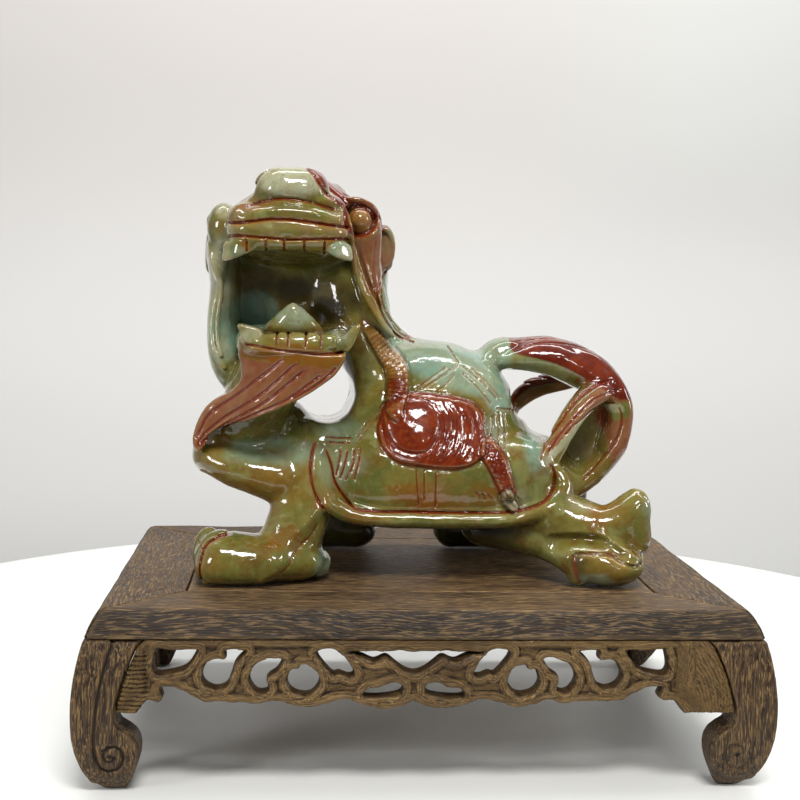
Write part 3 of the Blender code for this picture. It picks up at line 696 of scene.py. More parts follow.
def turtle_tail(c):
    """Openwork tail: outer band, near and far strands, hollow leaf."""
    c.add(strap([((20, 3, 74.5), (0, 1, 0), 11, 6), ((27.5, 4, 78.4), (0, 1, 0), 10, 5),
                 ((34, 4, 83.4), (0, 1, 0), 9.5, 4.6), ((41, 4, 84.2), (0, 1, 0), 9, 4.1),
                 ((52, 3, 85.3), (0, 1, 0), 9, 3.9), ((64, 0, 82.4), (0, 1, 0), 9, 3.8),
                 ((74.5, -4, 75.2), (0, 1, 0), 9.5, 3.8), ((80.6, -6, 63), (0, 1, 0), 10, 3.9),
                 ((79.2, -6, 49), (0, 1, 0), 10, 4), ((71, -4, 38), (0, 1, 0), 10, 5),
                 ((60, -4, 31), (0, 1, 0), 12, 6)], n=2.3), 4)
    c.add(limb([((34, -2, 79.6), (3.0, 7, 3.4)), ((40, -3, 80.6), (4, 8, 4.6)), ((46, -3.5, 81.6), (5, 8.4, 6.0)),
                ((54, -4, 80.6), (6, 8.6, 6.8)), ((62, -5, 77.4), (6, 8.6, 7.4)),
                ((70, -6, 73.2), (5.5, 8.4, 7.0)), ((76.0, -7, 67), (4.4, 8.2, 7.0)),
                ((78.0, -7, 57), (4.2, 8.4, 7.0)), ((75.8, -6, 47.4), (4.2, 8.4, 7.0))]), 2.5)
    # near strand from the top of the curl down to the shell's edge
    c.add(strap([((74.5, -8, 69.5), (0, 1, 0), 6, 3.0), ((69, -14, 69.0), (-0.3, 1, 0.35), 6, 3.6),
                 ((61, -19, 62.5), (-0.5, 1, 0.5), 5, 3.4), ((54, -22, 52), (-0.6, 1, 0.4), 4.6, 3.2),
                 ((48.5, -23, 42), (-0.6, 1, 0.2), 4.6, 3.4), ((43, -22, 34), (-0.5, 1, 0), 5, 4)]), 1.5)
    # leaf closing the loop behind it
    c.add(slab(closed_curve([(80, 60), (72, 67), (63, 60), (56, 48), (53, 36), (62, 29),
                             (72, 34), (79, 46)]), -3, 5, 2.5), 1.5)
    c.add(limb([((52, 0, 42), (8, 14, 8)), ((58, -2, 35), (8, 14, 7))]), 4)
    # far strand
    c.add(strap([((70, 6, 74), (0, 1, 0), 5.5, 3.4), ((62, 10, 71.4), (0.2, 1, 0.2), 4.4, 3.8),
                 ((54.6, 13, 69.6), (0.3, 1, 0.3), 3.6, 4.2), ((48.6, 14.5, 67.0), (0.4, 1, 0.3), 3.2, 4.4),
                 ((44.6, 15.5, 63.4), (0.5, 1, 0.2), 3.2, 3.7), ((42.3, 15.5, 60.2), (0.5, 1, 0.1), 3.2, 2.4),
                 ((40.6, 13, 57.4), (0.5, 1, 0), 3.6, 2.4), ((38, 8, 54), (0.5, 1, 0), 4, 3)]), 1.6)


BEARD = [(-63.9, 84.6), (-64.2, 78.6), (-64.5, 73.8), (-67.5, 69.8), (-73.6, 66.2),
         (-78.2, 61.6), (-81.0, 55.5), (-81.8, 49.5), (-79.6, 46.5), (-77.2, 49.5), (-74.6, 53.2),
         (-68.0, 56.8), (-56.5, 61.3), (-44.7, 66.9), (-36.4, 72.0), (-30.6, 76.8),
         (-27.6, 82.6), (-30, 84.6), (-46, 85.4)]


def beard_blade():
    def lean(x, z):
        return smooth(-x, 48.0, 84.0) * 15.0 + smooth(-z, -84.0, -70.0) * 1.5
    return slab(closed_curve(BEARD, 4), -50.0, -41.0, 1.6, mid=lean)


# ------------------------------------------------ carved detail, front side
def box_of(q, m, y0, y1):
    return ((q[:, 0].min() - m, y0, q[:, 1].min() - m),
            (q[:, 0].max() + m, y1, q[:, 1].max() + m))


def taper(t, a=0.06):
    return smooth(t, 0, a) * smooth(1 - t, 0, a)


def engrave(c, pts, w=0.5, depth=0.8, y0=-70, y1=-6, sub=4, ends=True, fade=2.5):
    """A cut line seen from the front; negative depth makes a raised line."""
    q = curve(pts, sub) if sub > 1 else np.array(pts, float)
    lo, hi = box_of(q, 3.2 * w, y0, y1)

    def fn(X, Y, Z):
        d, t = line_distance(X, Z, q)
        m = smooth(y1 - Y, 0, fade) * smooth(Y - y0, 0, fade)
        if ends:
            m = m * taper(t)
        return depth * np.exp(-(d / F4(w)) ** 2) * m

    c.press(lo, hi, fn)


def emboss(c, outline, height, edge=1.0, crown=0.0, reach=6.0, y0=-70, y1=-6, sub=4, moat=0.0):
    """A raised field with a rounded edge, seen from the front."""
    q = closed_curve(outline, sub) if sub > 1 else np.array(outline, float)
    lo, hi = box_of(q, 3.0, y0, y1)

    def fn(X, Y, Z):
        d = shape_distance(X, Z, q)
        m = smooth(y1 - Y, 0, 2.5)
        up = height * smooth(-d, -0.35 * edge, edge) + crown * (1 - np.exp(np.minimum(d, 0) / F4(reach)))
        down = moat * np.exp(-((d - 0.5) / 0.6) ** 2)
        return (down - up) * m

    c.press(lo, hi, fn)


# snout folds
FOLD_1 = [(-63.5, 133.6), (-62.1, 134.5), (-58.2, 135.9), (-54.0, 136.8), (-49.7, 137.2),
          (-44.4, 136.9), (-39.7, 136.0), (-35.4, 134.8), (-31.6, 133.6)]
FOLD_2 = [(-70.5, 128.6), (-68.6, 128.7), (-64.4, 128.6), (-60.1, 129.2), (-55.9, 129.8),
          (-51.7, 130.1), (-47.5, 130.0), (-43.3, 129.7), (-39.1, 129.1), (-34.8, 128.5),
          (-28.0, 128.0), (-26.4, 127.8)]
FOLD_3 = [(-71.0, 123.6), (-70.0, 123.9), (-67.1, 124.2), (-63.3, 124.1), (-58.0, 123.7),
          (-52.7, 123.4), (-48.5, 123.1), (-43.2, 123.3), (-37.9, 123.5), (-32.6, 123.7),
          (-27.9, 124.0), (-26.0, 124.1)]
TEETH_UP = [-62.5, -55.8, -49.6, -42.6, -35.6]
NOSE_L = [(-61.4, 139.6), (-60.0, 141.8), (-59.0, 144.0), (-57.4, 146.0), (-54.6, 147.8)]
NOSE_L2 = [(-58.6, 140.6), (-57.8, 142.8), (-56.4, 145.0), (-54.0, 146.8)]
NOSE_R = [(-43.5, 148.8), (-41.4, 147.4), (-39.6, 145.6), (-37.6, 142.6), (-35.2, 139.6),
          (-32.2, 137.4)]
NOSE_SEAM = [(-51.0, 145.0), (-50.2, 142.0), (-50.6, 139.6)]
EYE = (-22.6, 131.5)
STRAND_A = [(-29.9, -37.5, 136.2), (-28.2, -38.6, 133.0), (-27.0, -38.8, 129.5),
            (-26.2, -37.0, 125.5), (-25.3, -33.5, 120.7), (-24.3, -30.0, 115.7),
            (-23.0, -27.6, 111.0), (-20.9, -26.6, 105.7), (-18.0, -26.2, 100.7),
            (-15.0, -26.0, 95.7), (-11.9, -25.0, 91.6), (-9.6, -23.4, 89.4)]
STRAND_B = [(-24.6, -27.6, 121.5), (-22.9, -27.0, 115.6), (-21.2, -26.4, 110.6),
            (-18.8, -25.8, 105.2), (-15.7, -25.4, 99.6), (-12.8, -24.8, 94.6),
            (-9.6, -23.6, 91.0)]
STRAND_L = [(-76.2, -23.5, 121.5), (-75.4, -24.8, 115.5), (-73.8, -24.4, 110.8),
            (-72.9, -22.0, 106.8), (-73.8, -20.6, 102.8), (-75.2, -20.2, 97.8),
            (-75.9, -20.4, 91.8), (-75.6, -21.4, 86.4), (-74.4, -22.2, 82.0),
            (-71.4, -23.0, 77.0)]
STRAND_L2 = [(-72.6, -24.6, 108.5), (-72.4, -22.8, 104.0), (-73.4, -22.4, 98.0),
             (-74.0, -22.6, 91.6), (-73.6, -23.4, 86.0), (-72.2, -24.0, 81.4)]
LIP = [(-63.6, 87.0), (-62.9, 86.8), (-58.6, 86.2), (-53.3, 85.3), (-48.0, 84.6),
       (-42.6, 84.2), (-37.3, 83.7), (-32.0, 83.8), (-27.6, 84.5)]
TEETH_LOW = [-51.6, -47.7, -41.5, -36.4]
BEARD_LINES = [
    [(-48.3, 82.4), (-50.1, 81.1), (-53.5, 78.2), (-59.5, 73.3), (-65.6, 68.3), (-71.7, 63.9),
     (-76.3, 60.0), (-79.3, 54.3), (-80.7, 51.1)],
    [(-43.3, 80.9), (-46.9, 78.2), (-51.6, 73.8), (-57.0, 69.0), (-63.1, 64.7), (-69.3, 60.5),
     (-74.3, 56.4), (-78.1, 52.5), (-80.2, 48.4)],
    [(-40.9, 78.6), (-44.4, 75.8), (-49.8, 71.1), (-55.2, 66.7), (-61.2, 62.6), (-67.4, 59.1),
     (-73.1, 55.2), (-77.5, 51.0), (-79.6, 48.4)],
    [(-35.4, 76.9), (-39.0, 74.1), (-43.7, 70.4), (-49.1, 66.9), (-56.3, 63.2), (-62.5, 60.2),
     (-68.6, 57.2), (-74.6, 53.6)],
    [(-30.6, 79.4), (-35.0, 74.9), (-40.2, 71.2), (-46.5, 67.6)]]
MANE_R = [[(-11.2, 114.8), (-13.6, 108.0), (-13.9, 102.5), (-10.9, 95.6), (-6.4, 90.2), (-1.2, 87.0)],
          [(-12.9, 112.5), (-15.5, 106.0), (-15.2, 101.0), (-12.2, 94.6), (-8.2, 89.9), (-3.6, 86.4)],
          [(-9.8, 91.6), (-6.0, 88.4), (0.2, 86.0)]]
COLUMN = [[(-17.0, 126.0), (-17.3, 119.0), (-17.6, 112.0), (-16.6, 105.5)],
          [(-13.9, 125.0), (-14.1, 119.0), (-14.4, 113.5)]]

# shell
RIM = [(-34.6, 50.0), (-33.6, 47.9), (-31.6, 42.4), (-30.3, 36.7), (-27.7, 32.4), (-24.5, 28.6),
       (-21.4, 27.0), (-14.5, 26.4), (-2.4, 26.4), (13.2, 26.3), (23.8, 26.3), (28.2, 26.4),
       (33.5, 26.6), (38.9, 27.4), (44.2, 28.9), (48.2, 31.3), (50.8, 34.5), (51.6, 38.7),
       (50.0, 42.4), (47.6, 44.6)]
SHELL_END = [(-37.0, 51.4), (-38.4, 48.0), (-39.2, 43.0), (-39.0, 38.6), (-38.0, 34.0),
             (-36.1, 29.6), (-33.4, 26.2)]
STROKES = [[(-28.2, 48.6), (-28.8, 44.0), (-30.0, 38.6)], [(-25.8, 48.2), (-27.0, 42.6), (-28.6, 37.6)],
           [(-23.4, 48.8), (-24.0, 43.0), (-26.6, 37.2)], [(-21.2, 49.2), (-22.0, 43.4), (-23.6, 37.6)]]
PLATES = [[(12.2, 85.4), (14.0, 82.0), (15.6, 79.2)],
          [(15.6, 79.2), (9.4, 75.2), (1.6, 70.4)], [(13.6, 75.6), (10.4, 72.2), (6.6, 69.2)],
          [(11.0, 78.2), (5.4, 74.6), (-1.2, 70.0)],
          [(16.6, 78.6), (23.6, 73.0), (29.8, 66.3)], [(16.2, 76.4), (22.4, 70.6), (27.6, 64.5)],
          [(20.0, 77.8), (26.6, 72.0), (31.4, 66.4)],
          [(-11.6, 66.0), (-15.3, 61.8), (-22.7, 51.8)], [(-13.4, 61.6), (-18.0, 56.2), (-22.0, 51.0)],
          [(29.8, 62.4), (30.0, 56.0), (28.8, 50.0)], [(32.6, 62.2), (32.6, 56.0), (31.2, 48.6)],
          [(27.4, 60.8), (27.2, 56.0), (26.4, 52.4)], [(29.0, 63.2), (33.0, 62.6), (37.4, 61.8)],
          [(-1.2, 42.6), (-0.8, 36.0), (0.2, 28.6)], [(1.7, 42.4), (1.8, 36.0), (2.0, 30.2)],
          [(5.9, 41.6), (6.0, 34.0), (6.2, 27.4)],
          [(-34.0, 52.6), (-28.6, 52.0), (-23.6, 52.0)], [(-33.0, 50.8), (-28.0, 50.4), (-24.6, 50.6)],
          [(22.6, 31.6), (20.6, 34.2)], [(24.6, 31.0), (22.8, 33.6)], [(27.0, 31.2), (25.0, 33.2)]]

# the animal lying in low relief on the shell
BODY = [(-13.9, 60.5), (-14.9, 55.4), (-13.9, 50.6), (-10.6, 46.5), (-6.7, 44.2), (0.7, 43.1),
        (8.1, 42.5), (15.5, 42.7), (21.4, 45.3), (23.9, 49.0), (24.4, 55.8), (24.0, 60.8),
        (21.0, 64.8), (16.0, 66.9), (8.4, 68.1), (2.5, 68.8), (-3.5, 68.9), (-7.0, 67.4),
        (-10.6, 65.2), (-12.8, 63.4)]
EGG = [(-11.6, 64.0), (-13.0, 59.8), (-11.6, 54.1), (-8.1, 50.1), (-3.7, 48.3), (1.4, 48.6),
       (4.9, 52.2), (6.5, 57.4), (6.0, 61.4), (3.6, 65.0), (-1.0, 66.7), (-6.9, 66.4)]
ARCS = [[(4.2, 66.8), (7.6, 62.6), (8.4, 57.4), (7.2, 52.0), (4.0, 47.6), (0.6, 45.4)],
        [(8.2, 66.6), (11.2, 61.6), (11.8, 57.0), (10.6, 51.4), (7.6, 46.6), (3.6, 44.0)],
        [(12.6, 66.2), (15.6, 61.0), (16.0, 56.0), (15.0, 51.0), (12.4, 46.8), (8.8, 43.8)],
        [(16.8, 65.6), (19.6, 60.6), (20.0, 55.6), (19.0, 50.6), (16.8, 46.8), (13.8, 44.2)],
        [(20.6, 63.6), (22.5, 58.4), (22.4, 53.0), (20.8, 48.4), (18.6, 45.6)]]
BODY_INNER = [(-11.2, 66.0), (-13.2, 60.6), (-13.4, 55.4), (-11.8, 50.9), (-8.8, 47.8), (-4.4, 46.2),
              (0.6, 46.0)]
NECK_MID = [(-19.6, 93.4), (-15.2, 87.2), (-11.2, 82.2), (-8.4, 78.0), (-7.6, 73.6), (-7.9, 69.0),
            (-8.8, 65.4), (-8.6, 62.0), (-6.6, 58.6)]
NECK_HALF = [2.0, 3.0, 3.9, 4.2, 4.2, 3.9, 3.4, 2.9, 1.2]
BAND = [(22.6, 52.0), (25.4, 53.6), (28.3, 51.6), (30.8, 48.2), (33.0, 41.8), (35.4, 33.4),
        (33.6, 31.2), (30.4, 32.4), (27.6, 37.3), (24.4, 43.3), (22.0, 47.6)]
TIP = [(29.8, 32.8), (32.2, 35.4), (34.9, 32.2), (36.8, 28.8), (35.3, 26.0), (31.0, 29.4)]

# legs
TOE = [(-66.6, 18.4), (-69.0, 17.9), (-72.0, 17.1), (-75.0, 15.4), (-76.6, 13.0), (-77.3, 10.4),
       (-77.9, 7.2), (-77.8, 4.2), (-76.4, 1.2)]
TENDON = [(-34.6, 28.2), (-37.4, 24.8), (-41.0, 21.2), (-44.6, 18.2), (-47.2, 14.6), (-48.8, 10.0),
          (-51.6, 5.6), (-55.4, 2.4)]
TENDON_EDGE = [(-36.0, 22.0), (-38.8, 17.4), (-42.2, 14.4), (-44.8, 11.6), (-46.6, 7.8), (-50.0, 4.6)]
SHIN = [(48.0, 18.6), (52.2, 19.4), (56.5, 19.9), (60.9, 20.1), (65.3, 19.7), (68.3, 18.7),
        (71.4, 16.9), (74.5, 14.8), (77.8, 13.0), (82.0, 11.7)]
HOLLOW = [(50.5, 14.8), (55.6, 16.0), (60.4, 16.3), (65.0, 15.8), (68.8, 14.4), (72.2, 12.4)]
PAD_TOP = [(56.0, 12.2), (59.0, 12.7), (64.0, 13.0), (69.6, 12.6), (73.0, 10.4), (77.5, 8.9),
           (81.5, 9.4)]
HEEL_CREASE = [(56.2, 12.4), (56.6, 8.6), (57.4, 4.6), (59.2, 1.2)]
ANKLE = [(77.2, 14.0), (79.6, 12.4), (82.4, 12.2), (84.6, 11.4)]

# tail
STRAND_LINES = [[(79.4, 70.4), (75.1, 69.6), (69.1, 67.9), (65.1, 65.4), (61.4, 62.0), (57.4, 58.4),
                 (53.8, 54.0), (50.6, 49.2), (48.0, 45.6)],
                [(76.0, 73.6), (70.4, 72.4), (65.6, 70.2), (61.4, 67.0), (57.4, 62.8),
                 (54.2, 58.0), (50.6, 52.8), (47.2, 48.4), (44.6, 44.6)],
                [(77.0, 65.0), (71.4, 64.4), (66.6, 62.8), (62.4, 60.0), (58.2, 56.8), (54.6, 53.0)]]
LEAF_LINE = [(77.4, 64.0), (78.9, 60.3), (78.6, 55.3), (76.3, 49.0), (72.6, 43.5), (68.8, 38.8),
             (64.2, 34.6)]
FAR_LINES = [[(40.6, 67.6), (43.0, 70.6), (46.4, 72.4), (51.0, 72.4), (56.0, 71.6)],
             [(38.6, 64.6), (41.4, 67.0), (45.6, 69.6), (50.4, 69.8)]]

# every engraved line with how dark the polish left in it has gone:
# points, half width, depth, y from, y to, stain
CUTS = []


def cut_line(pts, w, depth, y0, y1, stain=1.0):
    CUTS.append((pts, w * 0.82, depth * 0.92, y0, y1, stain))


cut_line(FOLD_2, 0.62, 1.35, -70, -30)
cut_line(FOLD_3, 0.55, 1.15, -70, -30)
cut_line(FOLD_1, 0.60, 0.75, -70, -30, 0.8)
cut_line(NOSE_L, 0.45, 0.65, -70, -22, 0.5)
cut_line(NOSE_L2, 0.4, 0.35, -70, -26, 0.4)
cut_line(NOSE_R, 0.5, 0.75, -70, -26, 1.0)
for x in TEETH_UP:
    cut_line([(x, 123.0), (x + 0.1, 121.2), (x + 0.05, 118.6)], 0.42, 0.95, -70, -36)
for x in TEETH_LOW:
    cut_line([(x, 91.2), (x, 88.8), (x - 0.1, 85.8)], 0.42, 0.6, -70, -38)
cut_line(LIP, 0.6, 1.0, -70, -38)
for q in BEARD_LINES:
    cut_line(q, 0.52, 0.75, -66, -24)
for q in MANE_R:
    cut_line(q, 0.5, 0.7, -40, 12, 0.75)
for q in COLUMN:
    cut_line(q, 0.55, 0.35, -40, -8, 0.5)
cut_line(RIM, 0.62, 1.0, -60, -12)
cut_line(SHELL_END, 0.7, 1.1, -60, -14)
for q in STROKES:
    cut_line(q, 0.45, 0.7, -60, -14)
for q in PLATES:
    cut_line(q, 0.42, 0.6, -60, -3, 0.8)
cut_line(BODY_INNER, 0.45, 0.55, -60, -14)
cut_line(TOE, 0.55, 1.0, -60, -22)
cut_line([(-79.4, 14.6), (-77.9, 13.6), (-76.8, 12.8)], 0.45, 0.6, -60, -22)
cut_line(TENDON_EDGE, 0.55, 0.5, -60, -20, 0.6)
cut_line(PAD_TOP, 0.7, 1.1, -60, -26, 0.45)
cut_line(HEEL_CREASE, 1.4, 0.5, -60, -26, 0.6)
cut_line(ANKLE, 0.6, 0.8, -60, -22, 0.6)
for q in STRAND_LINES:
    cut_line(q, 0.45, 0.65, -40, -9)
cut_line(LEAF_LINE, 0.5, 0.6, -30, -6, 0.8)
for q in FAR_LINES:
    cut_line(q, 0.45, 0.6, 2, 26, 0.9)


def neck_frame(X, Z):
    """Distance from the relief neck's middle, as a share of its half width."""
    q = curve([list(p) + [h] for p, h in zip(NECK_MID, NECK_HALF)], 5)
    d, t = line_distance(X, Z, q[:, :2])
    seg = np.r_[0, np.cumsum(np.linalg.norm(np.diff(q[:, :2], axis=0), axis=1))]
    half = np.interp(t * seg[-1], seg, q[:, 2]).astype(F4)
    return d, half, (t * seg[-1]).astype(F4)


def creature(c):
    """Low relief on the near side of the shell."""
    emboss(c, BODY, 1.1, 1.3, 1.2, 5.0, y0=-60, y1=-12, moat=0.5)
    emboss(c, EGG, 0.35, 0.9, 1.3, 4.5, y0=-60, y1=-12, moat=0.55)

    for a, b in zip(ARCS, ARCS[1:]):
        p, r = curve(a, 5), curve(b, 5)
        t = np.linspace(0, 1, 16)
        half = [tuple(0.45 * p[int(k * (len(p) - 1))] + 0.55 * r[int(k * (len(r) - 1))]) for k in t]
        engrave(c, half, 0.34, 0.28, -60, -12, 1)
    # plates overlapping towards the tail: each arc steps down behind
    for q in ARCS:
        qq = curve(q, 5)
        lo, hi = box_of(qq, 2.6, -60, -12)

        def fn(X, Y, Z, qq=qq):
            d, t = line_distance(X, Z, qq)
            sx = np.interp(Z, qq[::-1, 1], qq[::-1, 0]).astype(F4)
            s = np.sign(X - sx)
            e = smooth(t, 0, 0.12) * smooth(1 - t, 0, 0.12)
            cut = 0.55 * np.exp(-(d / 0.38) ** 2)
            step = 0.26 * np.exp(-np.abs(d) / 1.7) * np.where(s > 0, 0.6, -1.0)
            return (cut + step * (1 - np.exp(-(d / 0.35) ** 2))) * e

        c.press(lo, hi, fn)
    # band with cross-cut scales, and its notched tip
    emboss(c, BAND, 1.3, 1.0, 0.6, 2.0, y0=-60, y1=-14, sub=3, moat=0.4)
    q = closed_curve(BAND, 3)
    lo, hi = box_of(q, 0.5, -60, -14)

    def hatch(X, Y, Z):
        d = shape_distance(X, Z, q)
        u = (X - 22.6) * 0.47 + (Z - 52.0) * -0.88
        v = (X - 22.6) * 0.88 + (Z - 52.0) * 0.47
        a = np.abs(np.sin((u + v * 0.9) * 1.55))
        b = np.abs(np.sin((u - v * 0.9) * 1.55))
        k = np.exp(-(np.minimum(a, b) / 0.30) ** 2)
        return 0.7 * k * smooth(-d, 0.5, 1.2)

    c.press(lo, hi, hatch)
    emboss(c, TIP, 1.9, 0.9, 0.5, 1.2, y0=-60, y1=-14, sub=2, moat=0.5)
    engrave(c, [(30.6, 34.0), (33.2, 31.0), (35.8, 27.4)], 0.5, 0.9, -60, -14, 1, False)
    engrave(c, [(30.4, 30.4), (33.2, 30.8), (35.8, 31.0)], 0.45, 0.7, -60, -14, 1, False)
    # ribbed neck bending up to the mane
    q = curve(NECK_MID, 5)
    lo, hi = box_of(q, 6.5, -60, -8)

    def neck(X, Y, Z):
        d, half, s = neck_frame(X, Z)
        r = d / half
        body = np.sqrt(np.clip(1 - r * r * 0.93, 0, 1)) * smooth(1.12 - r, 0, 0.22)
        grow = smooth(s, 0, 5) * smooth(q_len - s, 0.0, 3.5)
        rib = 0.30 * np.cos(s * (2 * math.pi / 1.62)) * smooth(s, 2, 5) * smooth(q_len - s, 5, 9)
        edge = 0.55 * np.exp(-((d - half - 0.35) / 0.55) ** 2)
        m = smooth(-8 - Y, 0, 3)
        return (-(2.1 * body + rib * body) + edge) * grow * m

    q_len = float(np.sum(np.linalg.norm(np.diff(q, axis=0), axis=1)))
    c.press(lo, hi, neck)


def turtle_mid(c):
    """Smaller masses, still softened by the last polish."""
    c.add(beard_blade(), 0.8)
    # tongue
    c.add(limb([((-46.2, -26, 90.0), (10.8, 12, 3.5)), ((-46.2, -36, 92.2), (10.4, 8, 3.4)),
                ((-46.2, -40, 95.6), (6.6, 5, 3.6)), ((-46.2, -41.8, 98.6), (3.0, 3.0, 2.6)),
                ((-46.2, -42.4, 100.4), (1.0, 1.4, 1.0))]), 0.8)
    # lower teeth standing behind the lip
    c.add(lump((-43.8, -47.1, 87.9), (13.2, 3.1, 2.6), n=6.0, ny=2.6), 0.3)
    for x0, x1, top in ((-56.9, -51.9, 90.2), (-51.3, -48.0, 90.6), (-47.4, -41.8, 90.8),
                        (-41.2, -36.7, 90.8), (-36.1, -30.6, 90.4)):
        c.add(lump((0.5 * (x0 + x1), -47.8, top - 2.6), (0.5 * (x1 - x0) + 0.1, 3.0, 2.9), n=3.4, ny=2.6), 0.35)
    c.add(slab(closed_curve([(-65.2, 93.6), (-64.4, 90.2), (-63.0, 86.4), (-58, 85.0), (-56.0, 88.6),
                             (-57.1, 91.8), (-60.6, 93.0)], 3), -49.0, -40.0, 1.3), 0.7)
    c.add(slab(closed_curve([(-34.4, 88.6), (-28.6, 90.0), (-25.4, 93.4), (-22.4, 94.2), (-23.6, 90.4),
                             (-25.6, 86.2), (-27.6, 84.4), (-33, 85.0)], 3), -47.6, -33.0, 1.5), 0.8)
    # upper fangs at the lip's corners
    def bend(x, z):
        return 5.0 * smooth(np.abs(x + 48.4), 13.5, 24.0) ** 2 + 0.12 * (z - 116)
    c.add(slab(closed_curve([(-36.2, 121.4), (-35.6, 119.8), (-32.2, 117.8), (-28.6, 116.6),
                             (-25.9, 116.2), (-25.4, 118.4), (-26.6, 122.0), (-31, 123.0)], 4),
               -47.3, -41.5, 1.9, mid=bend), 0.9)
    c.add(slab(closed_curve([(-70.4, 122.0), (-71.0, 118.4), (-70.9, 115.6), (-67.4, 116.0),
                             (-63.2, 117.8), (-59.0, 119.6), (-60.4, 122.2), (-66, 122.8)], 4),
               -47.3, -41.5, 1.9, mid=bend), 0.9)
    # eyes
    c.press((-33, -50, 120), (-12, -12, 143), lambda X, Y, Z: (
        1.7 * np.exp(-((np.hypot(X - EYE[0], Z - EYE[1]) - 5.2) / 0.95) ** 2)
        - 0.7 * np.exp(-((np.hypot(X - EYE[0], Z - EYE[1]) - 7.2) / 0.9) ** 2)
        * smooth(Z + 0.6 * X, 112, 118)) * smooth(-12 - Y, 0, 4))
    c.add(lump((EYE[0], -23.6, EYE[1]), (4.5, 6.2, 4.5)), 0.3)
    c.press((-82, -30, 118), (-66, 2, 142), lambda X, Y, Z: (
        1.5 * np.exp(-((np.hypot(Y + 13, Z - 130) - 5.2) / 0.95) ** 2)) * smooth(-X, 69, 72))
    c.add(lump((-74.2, -13, 130), (4.6, 4.5, 4.5)), 0.3)
    # strands from the lip's corners down to the neck
    def strand(path, r0, r1, sub=4):
        n = len(path) - 1
        return limb([(p, (r0 + (r1 - r0) * i / n,) * 3) for i, p in enumerate(path)], sub)
    c.add(strand(STRAND_A, 1.05, 1.0), 0.8)
    c.add(strand(STRAND_B, 0.8, 0.95), 0.6)
    c.add(strand([(x + 2.6, y + 1.2, z + 0.4) for x, y, z in STRAND_B], 0.6, 0.8), 0.6)
    c.add(strand(STRAND_L, 1.2, 1.3), 0.8)
    c.add(strand(STRAND_L2, 0.7, 0.9), 0.8)
    # ear's curled rim
    c.add(strand([(-13.4, -9.0, 128.6), (-11.4, -9.2, 128.3), (-9.9, -9.0, 125.8),
                  (-9.4, -8.6, 121.8), (-10.0, -8.6, 118.0), (-12.2, -8.8, 116.2)], 1.1, 1.2), 0.5)
    # folds of the snout swell between the cut lines
    def swell(pts, w, h, y1=-30):
        q = curve(pts, 3)
        lo, hi = box_of(q, 3 * w, -70, y1)
        c.press(lo, hi, lambda X, Y, Z: -h * np.exp(-(line_distance(X, Z, q)[0] / F4(w)) ** 2)
                * smooth(y1 - Y, 0, 4))
    swell([(-66, 131.6), (-56, 133.2), (-48, 133.6), (-40, 132.8), (-31, 131.0)], 1.9, 0.7)
    swell([(-69, 126.4), (-58, 126.6), (-48, 126.6), (-38, 126.3), (-28, 125.9)], 1.7, 0.7)
    swell(FOLD_1, 2.2, -1.5)
    # brow: the red crest over the right eye
    c.add(strand([(-31.0, -22.0, 140.2), (-27.6, -23.6, 138.6), (-23.0, -24.4, 138.4),
                  (-18.6, -23.0, 136.6), (-15.8, -20.5, 132.8), (-14.9, -18.6, 128.6)], 1.2, 1.3), 0.9)
    # near paw: heel lobe, tendon over it, three toes at its front
    c.press((-60, -60, 0), (-30, -18, 32), lambda X, Y, Z: -1.3 * np.exp(
        -(line_distance(X, Z, curve(TENDON, 4))[0] / F4(2.4)) ** 2) * smooth(-18 - Y, 0, 6))
    # hind leg: a sharp shin over a long hollow
    c.press((44, -60, 0), (86, -20, 32), lambda X, Y, Z: (-0.8 * np.exp(
        -(line_distance(X, Z, curve(SHIN, 4))[0] / F4(1.3)) ** 2)
        + 1.9 * np.exp(-(line_distance(X, Z, curve(HOLLOW, 4))[0] / F4(2.4)) ** 2))
        * smooth(-22 - Y, 0, 6))
    # claws at the near foot behind
    c.add(lump((59.2, -40.5, 6.2), (4.4, 5.0, 6.0), n=2.4), 2.5)
    toes(c)
    # swell of the shell's rim under the cut line
    q = curve([(-36.4, 46.0), (-35.2, 38.0), (-33.2, 31.4), (-29.4, 26.4), (-22.4, 24.0), (-10, 23.3),
               (10, 23.3), (28, 23.4), (40, 24.6), (48.6, 27.8), (53.2, 32.4), (54.4, 37.6)], 3)
    c.press((-42, -60, 16), (60, -18, 52), lambda X, Y, Z: -0.75 * np.exp(
        -(line_distance(X, Z, q)[0] / F4(2.3)) ** 2) * smooth(-18 - Y, 0, 6))
    creature(c)


def wave(X, Y, Z, size, seed):
    """Slow irregular swell, -1 to 1, from a few crossing waves."""
    rng = np.random.default_rng(seed)
    out = 0
    for _ in range(9):
        k = rng.normal(size=3)
        k *= 2 * math.pi / size / np.linalg.norm(k) * rng.uniform(0.75, 1.35)
        out = out + np.sin(F4(k[0]) * X + F4(k[1]) * Y + F4(k[2]) * Z + F4(rng.uniform(0, 6.28)))
    return out / F4(4.0)


